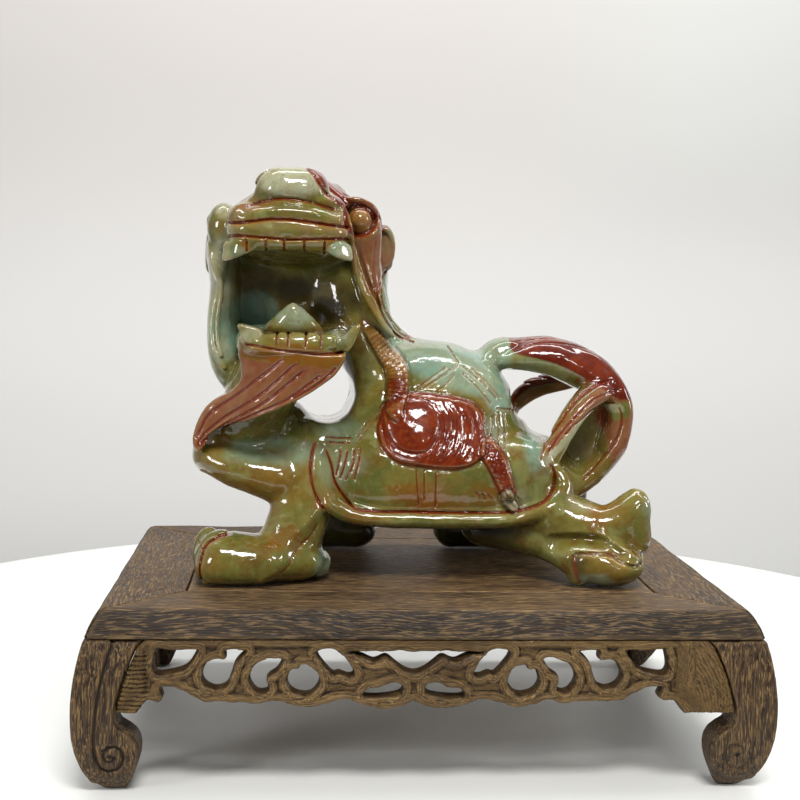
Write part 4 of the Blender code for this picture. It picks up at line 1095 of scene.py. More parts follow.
def toes(c):
    """Toes of the other feet, and the near paw's front with its toe grooves and blunt claws."""
    # near front paw: grooves between three toes, seen from the left
    for y in (-39.6, -32.4):
        c.press((-84, y - 3, 0), (-66, y + 3, 19), lambda X, Y, Z, y=y: 1.3 * np.exp(
            -((Y - y) / 0.9) ** 2) * smooth(-X, 66, 73))
    for x, y in ((-75.8, -43.4), (-78.4, -36.0), (-79.4, -29.0)):
        c.add(limb([((x + 0.6, y, 5.6), (2.0, 2.2, 2.8)), ((x, y, 2.6), (1.6, 1.8, 2.2))]), 1.0)
    # far front foot
    for y in (28.0, 33.6):
        c.press((-60, y - 3, 0), (-42, y + 3, 19), lambda X, Y, Z, y=y: 1.2 * np.exp(
            -((Y - y) / 0.9) ** 2) * smooth(-X, 43, 49))
    # far hind foot
    for y in (29.2, 34.6):
        c.press((54, y - 3, 0), (68, y + 3, 19), lambda X, Y, Z, y=y: 1.2 * np.exp(
            -((Y - y) / 0.9) ** 2) * smooth(X, 56, 60))
    # near hind foot, turned up behind: grooves between toes on its back
    for y in (-37.2, -31.0):
        c.press((76, y - 3, 12), (92, y + 3, 38), lambda X, Y, Z, y=y: 1.2 * np.exp(
            -((Y - y) / 0.9) ** 2) * smooth(X, 80, 84))


# ---------------------------------------------- the sides away from the front
DOME_C, DOME_R = np.array([3.5, 1.0, 36.0]), np.array([42.5, 38.5, 51.0])


def on_dome(X, Y, Z):
    """Points carried straight out from the shell's middle to its surface."""
    x, y, z = X - F4(DOME_C[0]), Y - F4(DOME_C[1]), np.maximum(Z - F4(DOME_C[2]), 0.2)
    s = (np.abs(x / DOME_R[0]) ** 2.3 + np.abs(z / DOME_R[2]) ** 2.3) ** (2.2 / 2.3)
    k = (s + np.abs(y / DOME_R[1]) ** 2.2) ** (-1 / 2.2)
    return x * k, y * k, z * k


def dome_point(u, v):
    """u degrees round from the tail towards the far side, v up from the rim."""
    a, e = math.radians(u), math.radians(v)
    d = np.array([math.cos(e) * math.cos(a), math.cos(e) * math.sin(a), math.sin(e)])
    p = on_dome(np.array([DOME_C[0] + d[0] * 50]), np.array([DOME_C[1] + d[1] * 50]),
                np.array([DOME_C[2] + d[2] * 50]))
    return np.array([float(q[0]) for q in p])


# plate seams of the far side and the top: (turn, rise) in degrees
SEAMS = [[(62, 60), (90, 66), (118, 60)], [(62, 60), (55, 44), (58, 28), (70, 12)],
         [(118, 60), (125, 44), (122, 28), (110, 12)], [(90, 66), (90, 52)],
         [(90, 52), (74, 40), (74, 26), (90, 16), (106, 26), (106, 40), (90, 52)],
         [(55, 44), (34, 40)], [(125, 44), (146, 40)], [(58, 28), (40, 22)], [(122, 28), (140, 22)],
         [(74, 33), (57, 33)], [(106, 33), (123, 33)], [(90, 16), (90, 4)],
         [(62, 60), (40, 66), (0, 74)], [(118, 60), (140, 66), (180, 72)],
         [(0, 74), (-45, 80), (-90, 82)], [(34, 40), (20, 58), (0, 74)]]


def seam_lines(X, Y, Z):
    x, y, z = on_dome(X, Y, Z)
    best = np.full(X.shape, 99, F4)
    for line in SEAMS:
        fine = []
        for (u0, v0), (u1, v1) in zip(line, line[1:]):
            for i in range(3):
                fine.append(dome_point(u0 + (u1 - u0) * i / 3, v0 + (v1 - v0) * i / 3))
        fine.append(dome_point(*line[-1]))
        for a, b in zip(fine, fine[1:]):
            dv = b - a
            L2 = float(dv @ dv) + 1e-9
            px, py, pz = x - a[0], y - a[1], z - a[2]
            t = np.clip((px * dv[0] + py * dv[1] + pz * dv[2]) / L2, 0, 1)
            d = np.sqrt((px - t * dv[0]) ** 2 + (py - t * dv[1]) ** 2 + (pz - t * dv[2]) ** 2)
            best = np.minimum(best, d.astype(F4))
    return best


def seam_mask(X, Y, Z):
    return smooth(Y, 2, 8) * smooth(Z, 28, 31) * smooth(60 - X, 12, 18) * smooth(X, -34, -28)


HAIR_BACK = [-66.0, -60.2, -54.6, -49.0, -43.4, -37.8, -32.2, -26.6, -21.0]


def hair_back(X, Y, Z):
    """Distance to the combed lines down the back of the head."""
    best = np.full(X.shape, 99, F4)
    for x0 in HAIR_BACK:
        x = x0 + 1.6 * np.sin(Z / 7.5 + x0 * 0.3) + (x0 + 44) * 0.012 * (118 - Z) * -0.5
        best = np.minimum(best, np.abs(X - x) * 0.95)
    return best


def turtle_fine(c):
    # slight hand-worked unevenness of the polished faces
    c.press((-100, -70, -5), (100, 60, 160), lambda X, Y, Z: 0.15 * wave(X, Y, Z, 13.0, 5)
            + 0.05 * wave(X, Y, Z, 5.0, 6))
    for pts, w, depth, y0, y1, stain in CUTS:
        engrave(c, pts, w, depth, y0, y1)
    # rim line and plate seams round the far side
    c.press((-42, -4, 26), (52, 50, 92), lambda X, Y, Z: 0.6 * np.exp(
        -(seam_lines(X, Y, Z) / F4(0.5)) ** 2) * seam_mask(X, Y, Z))
    c.press((-44, 8, 20), (58, 50, 34), lambda X, Y, Z: 0.9 * np.exp(
        -((Z - 26.6 - 0.004 * (X - 5) ** 2 * smooth(np.abs(X - 5), 26, 44)) / F4(0.6)) ** 2)
        * smooth(Y, 10, 16) * smooth(56 - X, 0, 8) * smooth(X, -40, -34))
    # combed hair behind the head
    c.press((-84, 8, 76), (-6, 24, 142), lambda X, Y, Z: 0.75 * np.exp(
        -(hair_back(X, Y, Z) / F4(0.75)) ** 2) * smooth(Y, 10, 14) * smooth(Z, 78, 86)
        * smooth(140 - Z, 0, 6))
    # long lines on the top of the tail's outer band
    for y, w in ((-6.5, 0.5), (-2.0, 0.5), (2.6, 0.5), (7.0, 0.5)):
        c.press((36, y - 2, 74), (86, y + 2, 92), lambda X, Y, Z, y=y: 0.6 * np.exp(
            -((Y - y - 0.9 * np.sin(X / 9.0)) / F4(0.5)) ** 2) * smooth(X, 38, 46)
            * smooth(Z + 0.35 * (X - 60), 76, 79))
    # round the back of the band
    for y in (-10.5, -6.0, -1.4, 3.0):
        c.press((66, y - 2, 30), (90, y + 2, 80), lambda X, Y, Z, y=y: 0.5 * np.exp(
            -((Y - y) / F4(0.5)) ** 2) * smooth(X - 0.25 * np.abs(Z - 58), 70, 74)
            * smooth(78 - Z, 0, 6) * smooth(Z, 34, 42))
    # feet ground flat where they stand
    c.change((-100, -70, -5), (100, 60, 3),
             lambda X, Y, Z, d: smax(d, -Z, 0.8))


# --------------------------------------------------- colours in the stone
def blob(P, c, r, soft=0.35):
    q = np.sqrt(np.sum(((P - np.array(c)) / np.array(r)) ** 2, axis=1))
    return 1 - smooth(q, 1 - soft, 1 + soft)


def along(P, path, r, soft=1.5):
    """1 near a path in space, falling to 0 beyond its radius."""
    best = np.full(len(P), 1e9)
    p = np.array(path, float)
    for a, b in zip(p, p[1:]):
        dv = b - a
        t = np.clip(((P - a) @ dv) / (dv @ dv), 0, 1)
        best = np.minimum(best, np.linalg.norm(P - a - t[:, None] * dv, axis=1))
    return 1 - smooth(best, r - soft, r + soft)


def most(*w):
    out = w[0]
    for x in w[1:]:
        out = np.maximum(out, x)
    return out


def stone_colours(P, N):
    """Weights of each colour of the stone at points P with normals N."""
    X, Y, Z = P[:, 0].astype(F4), P[:, 1].astype(F4), P[:, 2].astype(F4)
    w = {}
    on = smooth(-Y, 14, 18)
    body_d = shape_distance(X, Z, closed_curve(BODY, 3))

    # colour gathered in every cut line: a thin red core in a wider golden halo
    stain, halo = np.zeros(len(P)), np.zeros(len(P))
    for pts, wd, depth, y0, y1, s in CUTS:
        q = curve(pts, 4)
        ok = ((X > q[:, 0].min() - 4) & (X < q[:, 0].max() + 4) & (Z > q[:, 1].min() - 4)
              & (Z < q[:, 1].max() + 4) & (Y > y0) & (Y < y1))
        i = np.nonzero(ok)[0]
        if len(i):
            d, t = line_distance(X[i], Z[i], q)
            m = taper(t, 0.03) * smooth(y1 - Y[i], 0, 2.5)
            stain[i] = np.maximum(stain[i], s * np.exp(-(d / (wd * (1.45 if q[:, 0].max() < -26 and 40 < q[:, 1].min() < 72 else 1.0))) ** 2) * m)
            wide = 3.2 if q[:, 1].min() > 117 and np.ptp(q[:, 0]) > 20 else 2.6
            halo[i] = np.maximum(halo[i], s * np.exp(-(d / (wd * wide)) ** 2) * m)
    back = np.exp(-(seam_lines(X, Y, Z) / 0.6) ** 2) * seam_mask(X, Y, Z)
    hair = (np.exp(-(hair_back(X, Y, Z) / 0.8) ** 2) * smooth(Y, 10, 14) * smooth(Z, 78, 86)
            * smooth(140 - Z, 0, 6))
    stain = most(stain, 0.8 * back, 0.6 * hair)
    # lines of the plates are golden with little red in them
    pale_line = smooth(body_d, 0.8, 2.0) * smooth(Z, 44, 50) \
        * smooth(X, -26, -18) * smooth(46 - X, 0, 4) * smooth(90 - Z, 0, 4) * on
    w["gold"] = most(halo * 0.5, 0.62 * pale_line * halo)
    stain = stain * (1 - 0.55 * pale_line)

    # creature on the shell
    ring = 1 - smooth(body_d, -0.2, 0.9)
    band = 1 - smooth(shape_distance(X, Z, closed_curve(BAND, 3)), -0.1, 0.7)
    arcs = np.zeros(len(P))
    for q in ARCS + [BODY_INNER]:
        d, t = line_distance(X, Z, curve(q, 4))
        arcs = np.maximum(arcs, np.exp(-(d / 0.42) ** 2) * taper(t, 0.05))
    for qa, qb in zip(ARCS, ARCS[1:]):
        u, v = curve(qa, 5), curve(qb, 5)
        k = np.linspace(0, 1, 16)
        half = np.array([0.45 * u[int(e * (len(u) - 1))] + 0.55 * v[int(e * (len(v) - 1))] for e in k])
        d, t = line_distance(X, Z, half)
        arcs = np.maximum(arcs, 0.8 * np.exp(-(d / 0.34) ** 2) * taper(t, 0.05))
    d, half, s = neck_frame(X, Z)
    neck = (1 - smooth(d / half, 0.8, 1.15)) * on
    ribs = 0.5 - 0.5 * np.cos(s * (2 * math.pi / 1.62))
    egg_d = shape_distance(X, Z, closed_curve(EGG, 3))
    egg_edge = np.exp(-(egg_d / 0.6) ** 2)
    w["stain"] = most(stain, on * ring * 0.85 * most(arcs, egg_edge), neck * 0.6 * ribs * smooth(s, 2, 6))
    tip = 1 - smooth(shape_distance(X, Z, closed_curve(TIP, 2)), -0.2, 0.6)
    w["black"] = on * tip

    # dark red-brown skin of the stone: the outside of the tail, the brow, the lid
    zc = np.interp(X, [34, 40, 44, 48, 54, 60, 66, 72, 78], [84.4, 82.4, 81.4, 80.6, 79.0, 76.6, 73.0, 69.4, 66.0])
    tail_top = smooth(Z - zc, -1.2, 1.4) * smooth(X, 35.5, 38.5) * smooth(Z, 58, 64)
    up, _ = line_distance(X, Z, curve([(80, 74), (71, 74), (64.4, 71.6), (59.2, 66.7), (55.6, 62.0),
                                       (52.3, 57.0), (48.6, 51.8), (44.8, 47)], 3))
    mid, _ = line_distance(X, Z, curve([(79.4, 68.8), (75.1, 68.3), (69.1, 66.9), (65.1, 64.4),
                                        (62, 61.4), (57.9, 57.8), (54, 53.4), (50.6, 49)], 3))
    low, _ = line_distance(X, Z, curve([(78.4, 62.8), (72.4, 62.6), (67.6, 61.2), (63.4, 58.6),
                                        (59.4, 55.6), (55.6, 52.0), (51.6, 48), (48, 44)], 3))
    on_strand = smooth(-Y, 9, 12) * (1 - smooth(np.minimum(np.minimum(up, mid), low), 3.0, 4.5)) \
        * smooth(X, 44, 50)
    s_up = on_strand * smooth(np.minimum(mid, low) - up, -0.4, 0.5) * smooth(X, 50, 60)
    s_mid = on_strand * smooth(np.minimum(up, low) - mid, -0.4, 0.5)
    far = along(P, [(66, 8, 72.6), (62, 10, 71.4), (54, 13, 69.4), (48, 14.5, 66.6), (44.2, 15.5, 63.2),
                    (42, 15.5, 60)], 6.6, 1.0)
    far_top = far * smooth(Z - np.interp(X, [41, 44, 48, 56, 64], [61, 64.6, 68.0, 70.0, 71.0]), -0.8, 0.8)
    rim = smooth(X - 0.22 * np.abs(Z - 60), 69.5, 73.5) * smooth(Z, 33, 38) * (1 - on_strand)
    rim_low = rim * smooth(60 - Z, 0, 12) * smooth(X - 0.32 * np.abs(Z - 60), 71, 76)
    eye_r = np.hypot(X - EYE[0], Z - EYE[1])
    def stroke(path, r, soft=0.8):
        return 1 - smooth(line_distance(X, Z, curve(path, 4))[0], r - soft, r + soft)

    eye_ring = np.exp(-((eye_r - 5.8) / 1.5) ** 2) * smooth(-Y, 8, 12) * smooth(Z, 100, 110)
    lid = stroke([(-29.6, 138.0), (-26.4, 138.6), (-22.4, 138.4), (-18.4, 136.2), (-15.4, 132.8), (-14.2, 129.6)], 2.6) * smooth(-Y, 4, 8)
    crest = most(stroke([(-42.8, 150.2), (-40, 148.8), (-37, 145.8), (-35.6, 143)], 1.5, 0.6),
                 stroke([(-36.8, 146.4), (-33, 143.8), (-29.4, 139.8), (-27.4, 136.4)], 2.6)) * smooth(-Y, -4, 2)
    temple = smooth(-shape_distance(X, Z, closed_curve([
        (-25.2, 126.6), (-20, 124.8), (-14, 127), (-12.4, 114), (-14.0, 102), (-11.4, 94), (-10.2, 91.4),
        (-15.5, 97), (-20, 106), (-23, 117)], 3)), -1.2, 1.2) * smooth(-Y, 6, 10)
    tuft = along(P, [(-9.0, 1, 88.6), (-4.0, 2, 87.2), (2.2, 3, 86.0)], 3.4, 1.2) * smooth(-Y, -8, 0)
    d, t = line_distance(X, Z, curve(NOSE_R, 4))
    nose_edge = np.exp(-(d / 0.9) ** 2) * smooth(-Y, 26, 30) * smooth(X, -43, -40)
    w["dark"] = most(tail_top, 0.55 * s_up, 0.75 * far_top, 0.9 * eye_ring, lid, crest, 0.8 * tuft,
                     0.7 * nose_edge, 0.6 * blob(P, (41, -8, 84), (4, 8, 2.5), 0.5),
                     0.4 * rim_low * smooth(X - 0.30 * np.abs(Z - 60), 75, 79))
    beard_d = shape_distance(X, Z, closed_curve(BEARD, 4))
    front = smooth(-Y, 25, 29)
    w["red"] = most(0.45 * (1 - smooth(eye_r, 3.6, 5.2)) * smooth(eye_r, 1.2, 3.6) * smooth(-Y, 18, 21) * smooth(Z, 120, 124),
                    on * ring, on * band, 0.8 * neck * smooth(s, 17, 26),
                    0.6 * blob(P, (-69.0, -44, 5.4), (3.0, 3.0, 1.6), 0.8),
                    0.45 * blob(P, (-72.5, -44, 11.5), (2.4, 3, 2.8), 0.8),
                    0.5 * blob(P, (-73, -34, 50), (8, 8, 4), 0.6),
                    0.45 * blob(P, (-38, -40, 22), (2.4, 5, 8), 0.8),
                    0.7 * blob(P, (73.5, -8, 59), (3.6, 9, 4.5), 0.5),
                    0.5 * blob(P, (69, -44, 12.4), (8, 4, 1.6), 0.8))
    # pinkish brown
    beard = smooth(-beard_d, -0.4, 0.8) * front
    w["pink"] = most(beard * smooth(80.2 - 0.10 * (X + 46) - Z, -0.6, 1.4), s_mid, 0.9 * rim,
                     0.75 * temple * smooth(Z, 96, 108),
                     0.62 * along(P, [(-13, -6, 128), (-10.6, -7, 122), (-12, -7, 116)], 4.8, 1.4),
                     0.4 * along(P, [(-77, -3, 124), (-79, 3, 115)], 4.5, 1.5),
                     0.45 * along(P, [(-10.5, 0, 116), (-12.6, 0, 110)], 5.0, 2.5) * smooth(X, -17, -13),
                     0.4 * blob(P, (70, -10, 77.5), (6, 7, 3)),
                     0.6 * np.clip(far - far_top, 0, 1),
                     0.5 * blob(P, (-24, -33, 115), (3, 6, 12), 0.5))
    # bluish green
    top = smooth(Z + 0.30 * X, 69, 80) * smooth(X, -18, -8) * smooth(38 - X, 0, 6)
    w["blue"] = most(top, 0.8 * blob(P, (31, -22, 68), (7, 14, 8), 0.5),
                     0.9 * blob(P, (42, -24, 46), (5, 14, 9), 0.5), 0.5 * blob(P, (28, -30, 54), (7, 14, 10), 0.6),
                     0.55 * blob(P, (-28, -36, 43), (11, 10, 9), 0.8), 0.6 * blob(P, (-52, -30, 47), (22, 14, 6), 0.5),
                     blob(P, (-27.6, -45, 119.5), (6.5, 6, 4.0)), 0.5 * blob(P, (-67, -44, 118.6), (6, 6, 3.2)),
                     0.62 * blob(P, (-46.2, -40, 97), (8, 7, 7)), blob(P, (-73, -22, 92), (9, 15, 14), 0.5), 0.8 * blob(P, (-69, -31, 101), (5.5, 12, 9), 0.5),
                     0.5 * blob(P, (-29, -42, 89), (8, 7, 5)),
                     blob(P, (-60, -14, 97.4), (8, 40, 7.5), 0.4), 0.55 * blob(P, (-28, -26, 54), (14, 14, 7), 0.6),
                     blob(P, (-68, -30, 95), (9, 20, 8), 0.5), 0.6 * blob(P, (-26, -40, 92), (5, 8, 5), 0.5),
                     0.7 * blob(P, (36, -2, 82), (5, 10, 8), 0.5), 0.5 * blob(P, (44, -8, 79), (9, 10, 4), 0.5),
                     0.7 * blob(P, (-34, -34, 6), (5, 9, 7)), 0.6 * blob(P, (66, -44, 4), (10, 6, 4)),
                     0.35 * blob(P, (-78, -40, 8), (3, 6, 6)),
                     0.5 * blob(P, (84, -38, 28), (4, 6, 5)), 0.5 * blob(P, (10, -34, 36), (12, 8, 5), 0.7),
                     0.5 * blob(P, (-48, 20, 56), (22, 14, 20), 0.7), 0.5 * blob(P, (10, 30, 60), (24, 18, 16), 0.7))
    # pale: clouds of lighter stone
    w["pale"] = most(blob(P, (-72.0, -34, 110), (6.4, 24, 15), 0.4), 0.35 * blob(P, (-70, -32, 94), (8, 14, 9), 0.5), 0.8 * blob(P, (-71, -40, 124), (5, 10, 6), 0.5),
                     0.6 * blob(P, (36, -38, 31), (7, 9, 6), 0.6), 0.5 * blob(P, (60, -34, 30), (7, 9, 5), 0.6),
                     0.55 * blob(P, (67, -44, 6), (7, 6, 3), 0.6), 0.5 * blob(P, (55, -16, 54.4), (4, 6, 4), 0.6),
                     0.5 * blob(P, (54, -6, 76), (12, 12, 4), 0.5), 0.35 * blob(P, (68, -4, 46), (9, 9, 12), 0.5), 0.7 * blob(P, (-61, -46, 90), (5, 5, 4)),
                     0.6 * blob(P, (-30, -42, 89), (8, 7, 5)), 0.5 * blob(P, (EYE[0] + 1, -26, EYE[1] - 1), (4, 9, 4)),
                     0.8 * blob(P, (-12, -6, 122), (4, 8, 8), 0.5),
                     blob(P, (-47, -42, 145), (13, 14, 8), 0.3), 0.3 * blob(P, (-48, -48, 130), (26, 10, 8), 0.4),
                     0.35 * top, 0.45 * blob(P, (-46.2, -42, 98), (8, 7, 6)),
                     0.85 * blob(P, (-77, -14, 108), (5, 14, 22), 0.5),
                     0.7 * blob(P, (-68, -30, 134), (8, 9, 5)), 0.8 * blob(P, (-74, -16, 82), (7, 12, 10), 0.5),
                     0.9 * (1 - smooth(low, 1.2, 2.4)) * on_strand,
                     0.9 * along(P, [(-12.6, -2, 106), (-12.4, 0, 100), (-9, 2, 93)], 5.0, 2.0) * smooth(-Y, -2, 4)
                     * smooth(X, -18, -14), 0.7 * blob(P, (-26.6, -44, 118.6), (5.5, 5, 3.0)))
    # ochre
    w["ochre"] = most(0.72 * halo * smooth(Z, 117, 120) * smooth(-Y, 26, 30), 0.95 * beard * smooth(Z - 79.6 + 0.10 * (X + 46), -0.8, 0.8), 0.65 * blob(P, (14, -38, 33), (30, 10, 7), 0.5),
                      0.6 * blob(P, (-30, -40, 29), (10, 8, 6), 0.5), 0.75 * blob(P, (-60, -46, 135.2), (10, 6, 2.6), 0.6),
                      0.5 * blob(P, (-50, -38, 14), (12, 10, 8), 0.6), 0.45 * blob(P, (-5, -36, 46), (12, 10, 8), 0.6),
                      0.45 * blob(P, (-30, -22, 62), (10, 14, 8), 0.6), 0.5 * blob(P, (70, -36, 26), (12, 10, 6), 0.6),
                      0.5 * blob(P, (-62, -47, 121.5), (12, 8, 3), 0.6), 0.5 * blob(P, (-38, -47, 127.5), (14, 8, 2), 0.8),
                     0.45 * blob(P, (-52, -46, 132.4), (14, 8, 2.0), 0.8), 0.5 * blob(P, (-72, -26, 126), (4, 8, 3), 0.6), 0.5 * blob(P, (-46, -50, 86), (12, 5, 1.8), 0.5),
                      0.3 * blob(P, (68, -4, 44), (9, 9, 9), 0.6),
                      0.5 * blob(P, (0, 36, 40), (40, 12, 12), 0.6), 0.6 * blob(P, (-47, 16, 120), (24, 8, 14), 0.6),
                      0.5 * blob(P, (20, 0, 22), (40, 30, 6), 0.5))
    eye = (1 - smooth(eye_r, 4.2, 5.2)) * smooth(-Y, 18, 21) * smooth(Z, 120, 124)
    w["gold"] = most(w["gold"], 0.95 * neck * (1 - 0.8 * smooth(s, 18, 27)), eye,
                     0.5 * blob(P, (-47.5, -46, 141), (1.6, 6, 5), 0.9),
                     0.5 * np.exp(-(body_d / 0.9) ** 2) * on,
                     0.6 * np.exp(-(beard_d / 0.8) ** 2) * front * smooth(84 - Z, 0, 4))
    # painted shade: darker weights for the hollows, the mouth, the gaps between the legs and the shell, and the shaded
    # underside
    pocket = blob(P, (-60, -14, 97.4), (8, 40, 7.5), 0.4)
    w["deep"] = most(0.8 * blob(P, (-46, -12, 106), (11, 24, 7), 0.8) * smooth(Y, -40, -30) * (1 - 0.45 * smooth(Z, 108, 113)),
                     0.6 * blob(P, (-27, -22, 102), (6, 14, 8), 0.6), 0.6 * blob(P, (-34, -20, 50), (5, 12, 5), 0.6),
                     0.3 * blob(P, (31, -34, 57), (5, 10, 5), 0.6), 0.45 * blob(P, (76, -40, 13.3), (6, 6, 3), 0.6),
                     0.5 * blob(P, (-36, -26, 50), (9, 12, 6), 0.6), 0.45 * blob(P, (52, -34, 19), (14, 10, 6), 0.7),
                     0.85 * blob(P, (-34, -18, 98), (9, 18, 6), 0.5) * smooth(Y, -40, -30) * (1 - 0.5 * pocket),
                     0.5 * along(P, [(-22, -18, 88), (-22, -20, 74), (-26, -20, 60), (-32, -20, 50)], 8, 4),
                     0.35 * blob(P, (-48, -28, 62), (14, 12, 10), 0.6),
                     0.35 * blob(P, (-66, -26, 58), (12, 10, 6), 0.5),
                     0.5 * blob(P, (-33, -36, 10), (6, 6, 4), 0.6),
                     0.55 * blob(P, (58, -44, 8), (3.4, 7, 6), 0.6))
    w["deep"] = w["deep"] * (1 - 0.85 * pocket)
    # painted shade: the belly, the far feet and the faces turned down near the table go almost black
    w["under"] = most(smooth(Y, -24, -14) * smooth(26 - Z, 0, 5),
                      smooth(X, 12, 18) * smooth(50 - X, 0, 6) * smooth(Y, -36, -29) * smooth(21 - Z, 0, 3), 0.8 * smooth(-N[:, 2], 0.55, 0.9) * smooth(26 - Z, 0, 4) * smooth(Z + 0.4 * (Y + 36), 5, 9))
    # the far side's own faces aren't in the shade
    w["under"] = w["under"] * (1 - 0.92 * smooth(Y, 2, 10) * (1 - smooth(-N[:, 1], -0.05, 0.35)))
    for k in w:
        w[k] = np.clip(w[k], 0, 1)
    return w


def bends(clay, big, P, passes=5):
    """How hollow (+) or sharp (-) the surface is at each point, in mm."""
    old = clay.keep
    b = big
    for _ in range(passes):
        for ax in range(3):
            a = np.moveaxis(b, ax, 0)
            out = a.copy()
            out[1:-1] = 0.5 * a[1:-1]
            out[1:-1] += 0.25 * a[2:]
            out[1:-1] += 0.25 * a[:-2]
            b = np.moveaxis(out, 0, ax)
    val, _ = sampled(b, clay.lo, clay.h, P)
    return -val


# ------------------------------------------------------------- materials
def linear(r, g, b):
    return tuple((v / 255 / 12.92) if v / 255 <= 0.04045 else ((v / 255 + 0.055) / 1.055) ** 2.4
                 for v in (r, g, b)) + (1.0,)


class Nodes:
    """Short names for building a node material."""

    def __init__(self, name):
        self.mat = bpy.data.materials.new(name)
        self.mat.use_nodes = True
        self.t = self.mat.node_tree
        self.bsdf = self.t.nodes["Principled BSDF"]

    def new(self, kind, **props):
        n = self.t.nodes.new("ShaderNode" + kind)
        for k, v in props.items():
            setattr(n, k, v)
        return n

    def put(self, sock, v):
        if isinstance(v, bpy.types.NodeSocket):
            self.t.links.new(v, sock)
        elif v is not None:
            sock.default_value = v

    def point(self, kind="Object", scale=(1, 1, 1), turn=(0, 0, 0)):
        tc = self.new("TexCoord")
        mp = self.new("Mapping")
        self.put(mp.inputs["Vector"], tc.outputs[kind])
        mp.inputs["Scale"].default_value = scale
        mp.inputs["Rotation"].default_value = turn
        return mp.outputs["Vector"]

    def noise(self, vec, scale, detail=3.0, rough=0.55, warp=0.0):
        n = self.new("TexNoise")
        self.put(n.inputs["Vector"], vec)
        n.inputs["Scale"].default_value = scale
        n.inputs["Detail"].default_value = detail
        n.inputs["Roughness"].default_value = rough
        n.inputs["Distortion"].default_value = warp
        return n.outputs["Fac"]

    def attr(self, name):
        return self.new("Attribute", attribute_name=name).outputs["Fac"]

    def math(self, op, a, b=None, c=None, clamp=False):
        n = self.new("Math", operation=op, use_clamp=clamp)
        self.put(n.inputs[0], a)
        if b is not None:
            self.put(n.inputs[1], b)
        if c is not None:
            self.put(n.inputs[2], c)
        return n.outputs[0]

    def ramp(self, v, a, b, lo=0.0, hi=1.0):
        n = self.new("MapRange", interpolation_type="SMOOTHSTEP")
        self.put(n.inputs["Value"], v)
        n.inputs["From Min"].default_value = a
        n.inputs["From Max"].default_value = b
        n.inputs["To Min"].default_value = lo
        n.inputs["To Max"].default_value = hi
        return n.outputs["Result"]

    def mix(self, f, a, b, mode="MIX"):
        n = self.new("Mix", data_type="RGBA", blend_type=mode)
        self.put(n.inputs[0], f)
        self.put(n.inputs[6], a)
        self.put(n.inputs[7], b)
        return n.outputs[2]

    def bump(self, height, strength, distance, under=None):
        n = self.new("Bump")
        self.put(n.inputs["Height"], height)
        n.inputs["Strength"].default_value = strength
        n.inputs["Distance"].default_value = distance
        if under is not None:
            self.put(n.inputs["Normal"], under)
        return n.outputs["Normal"]


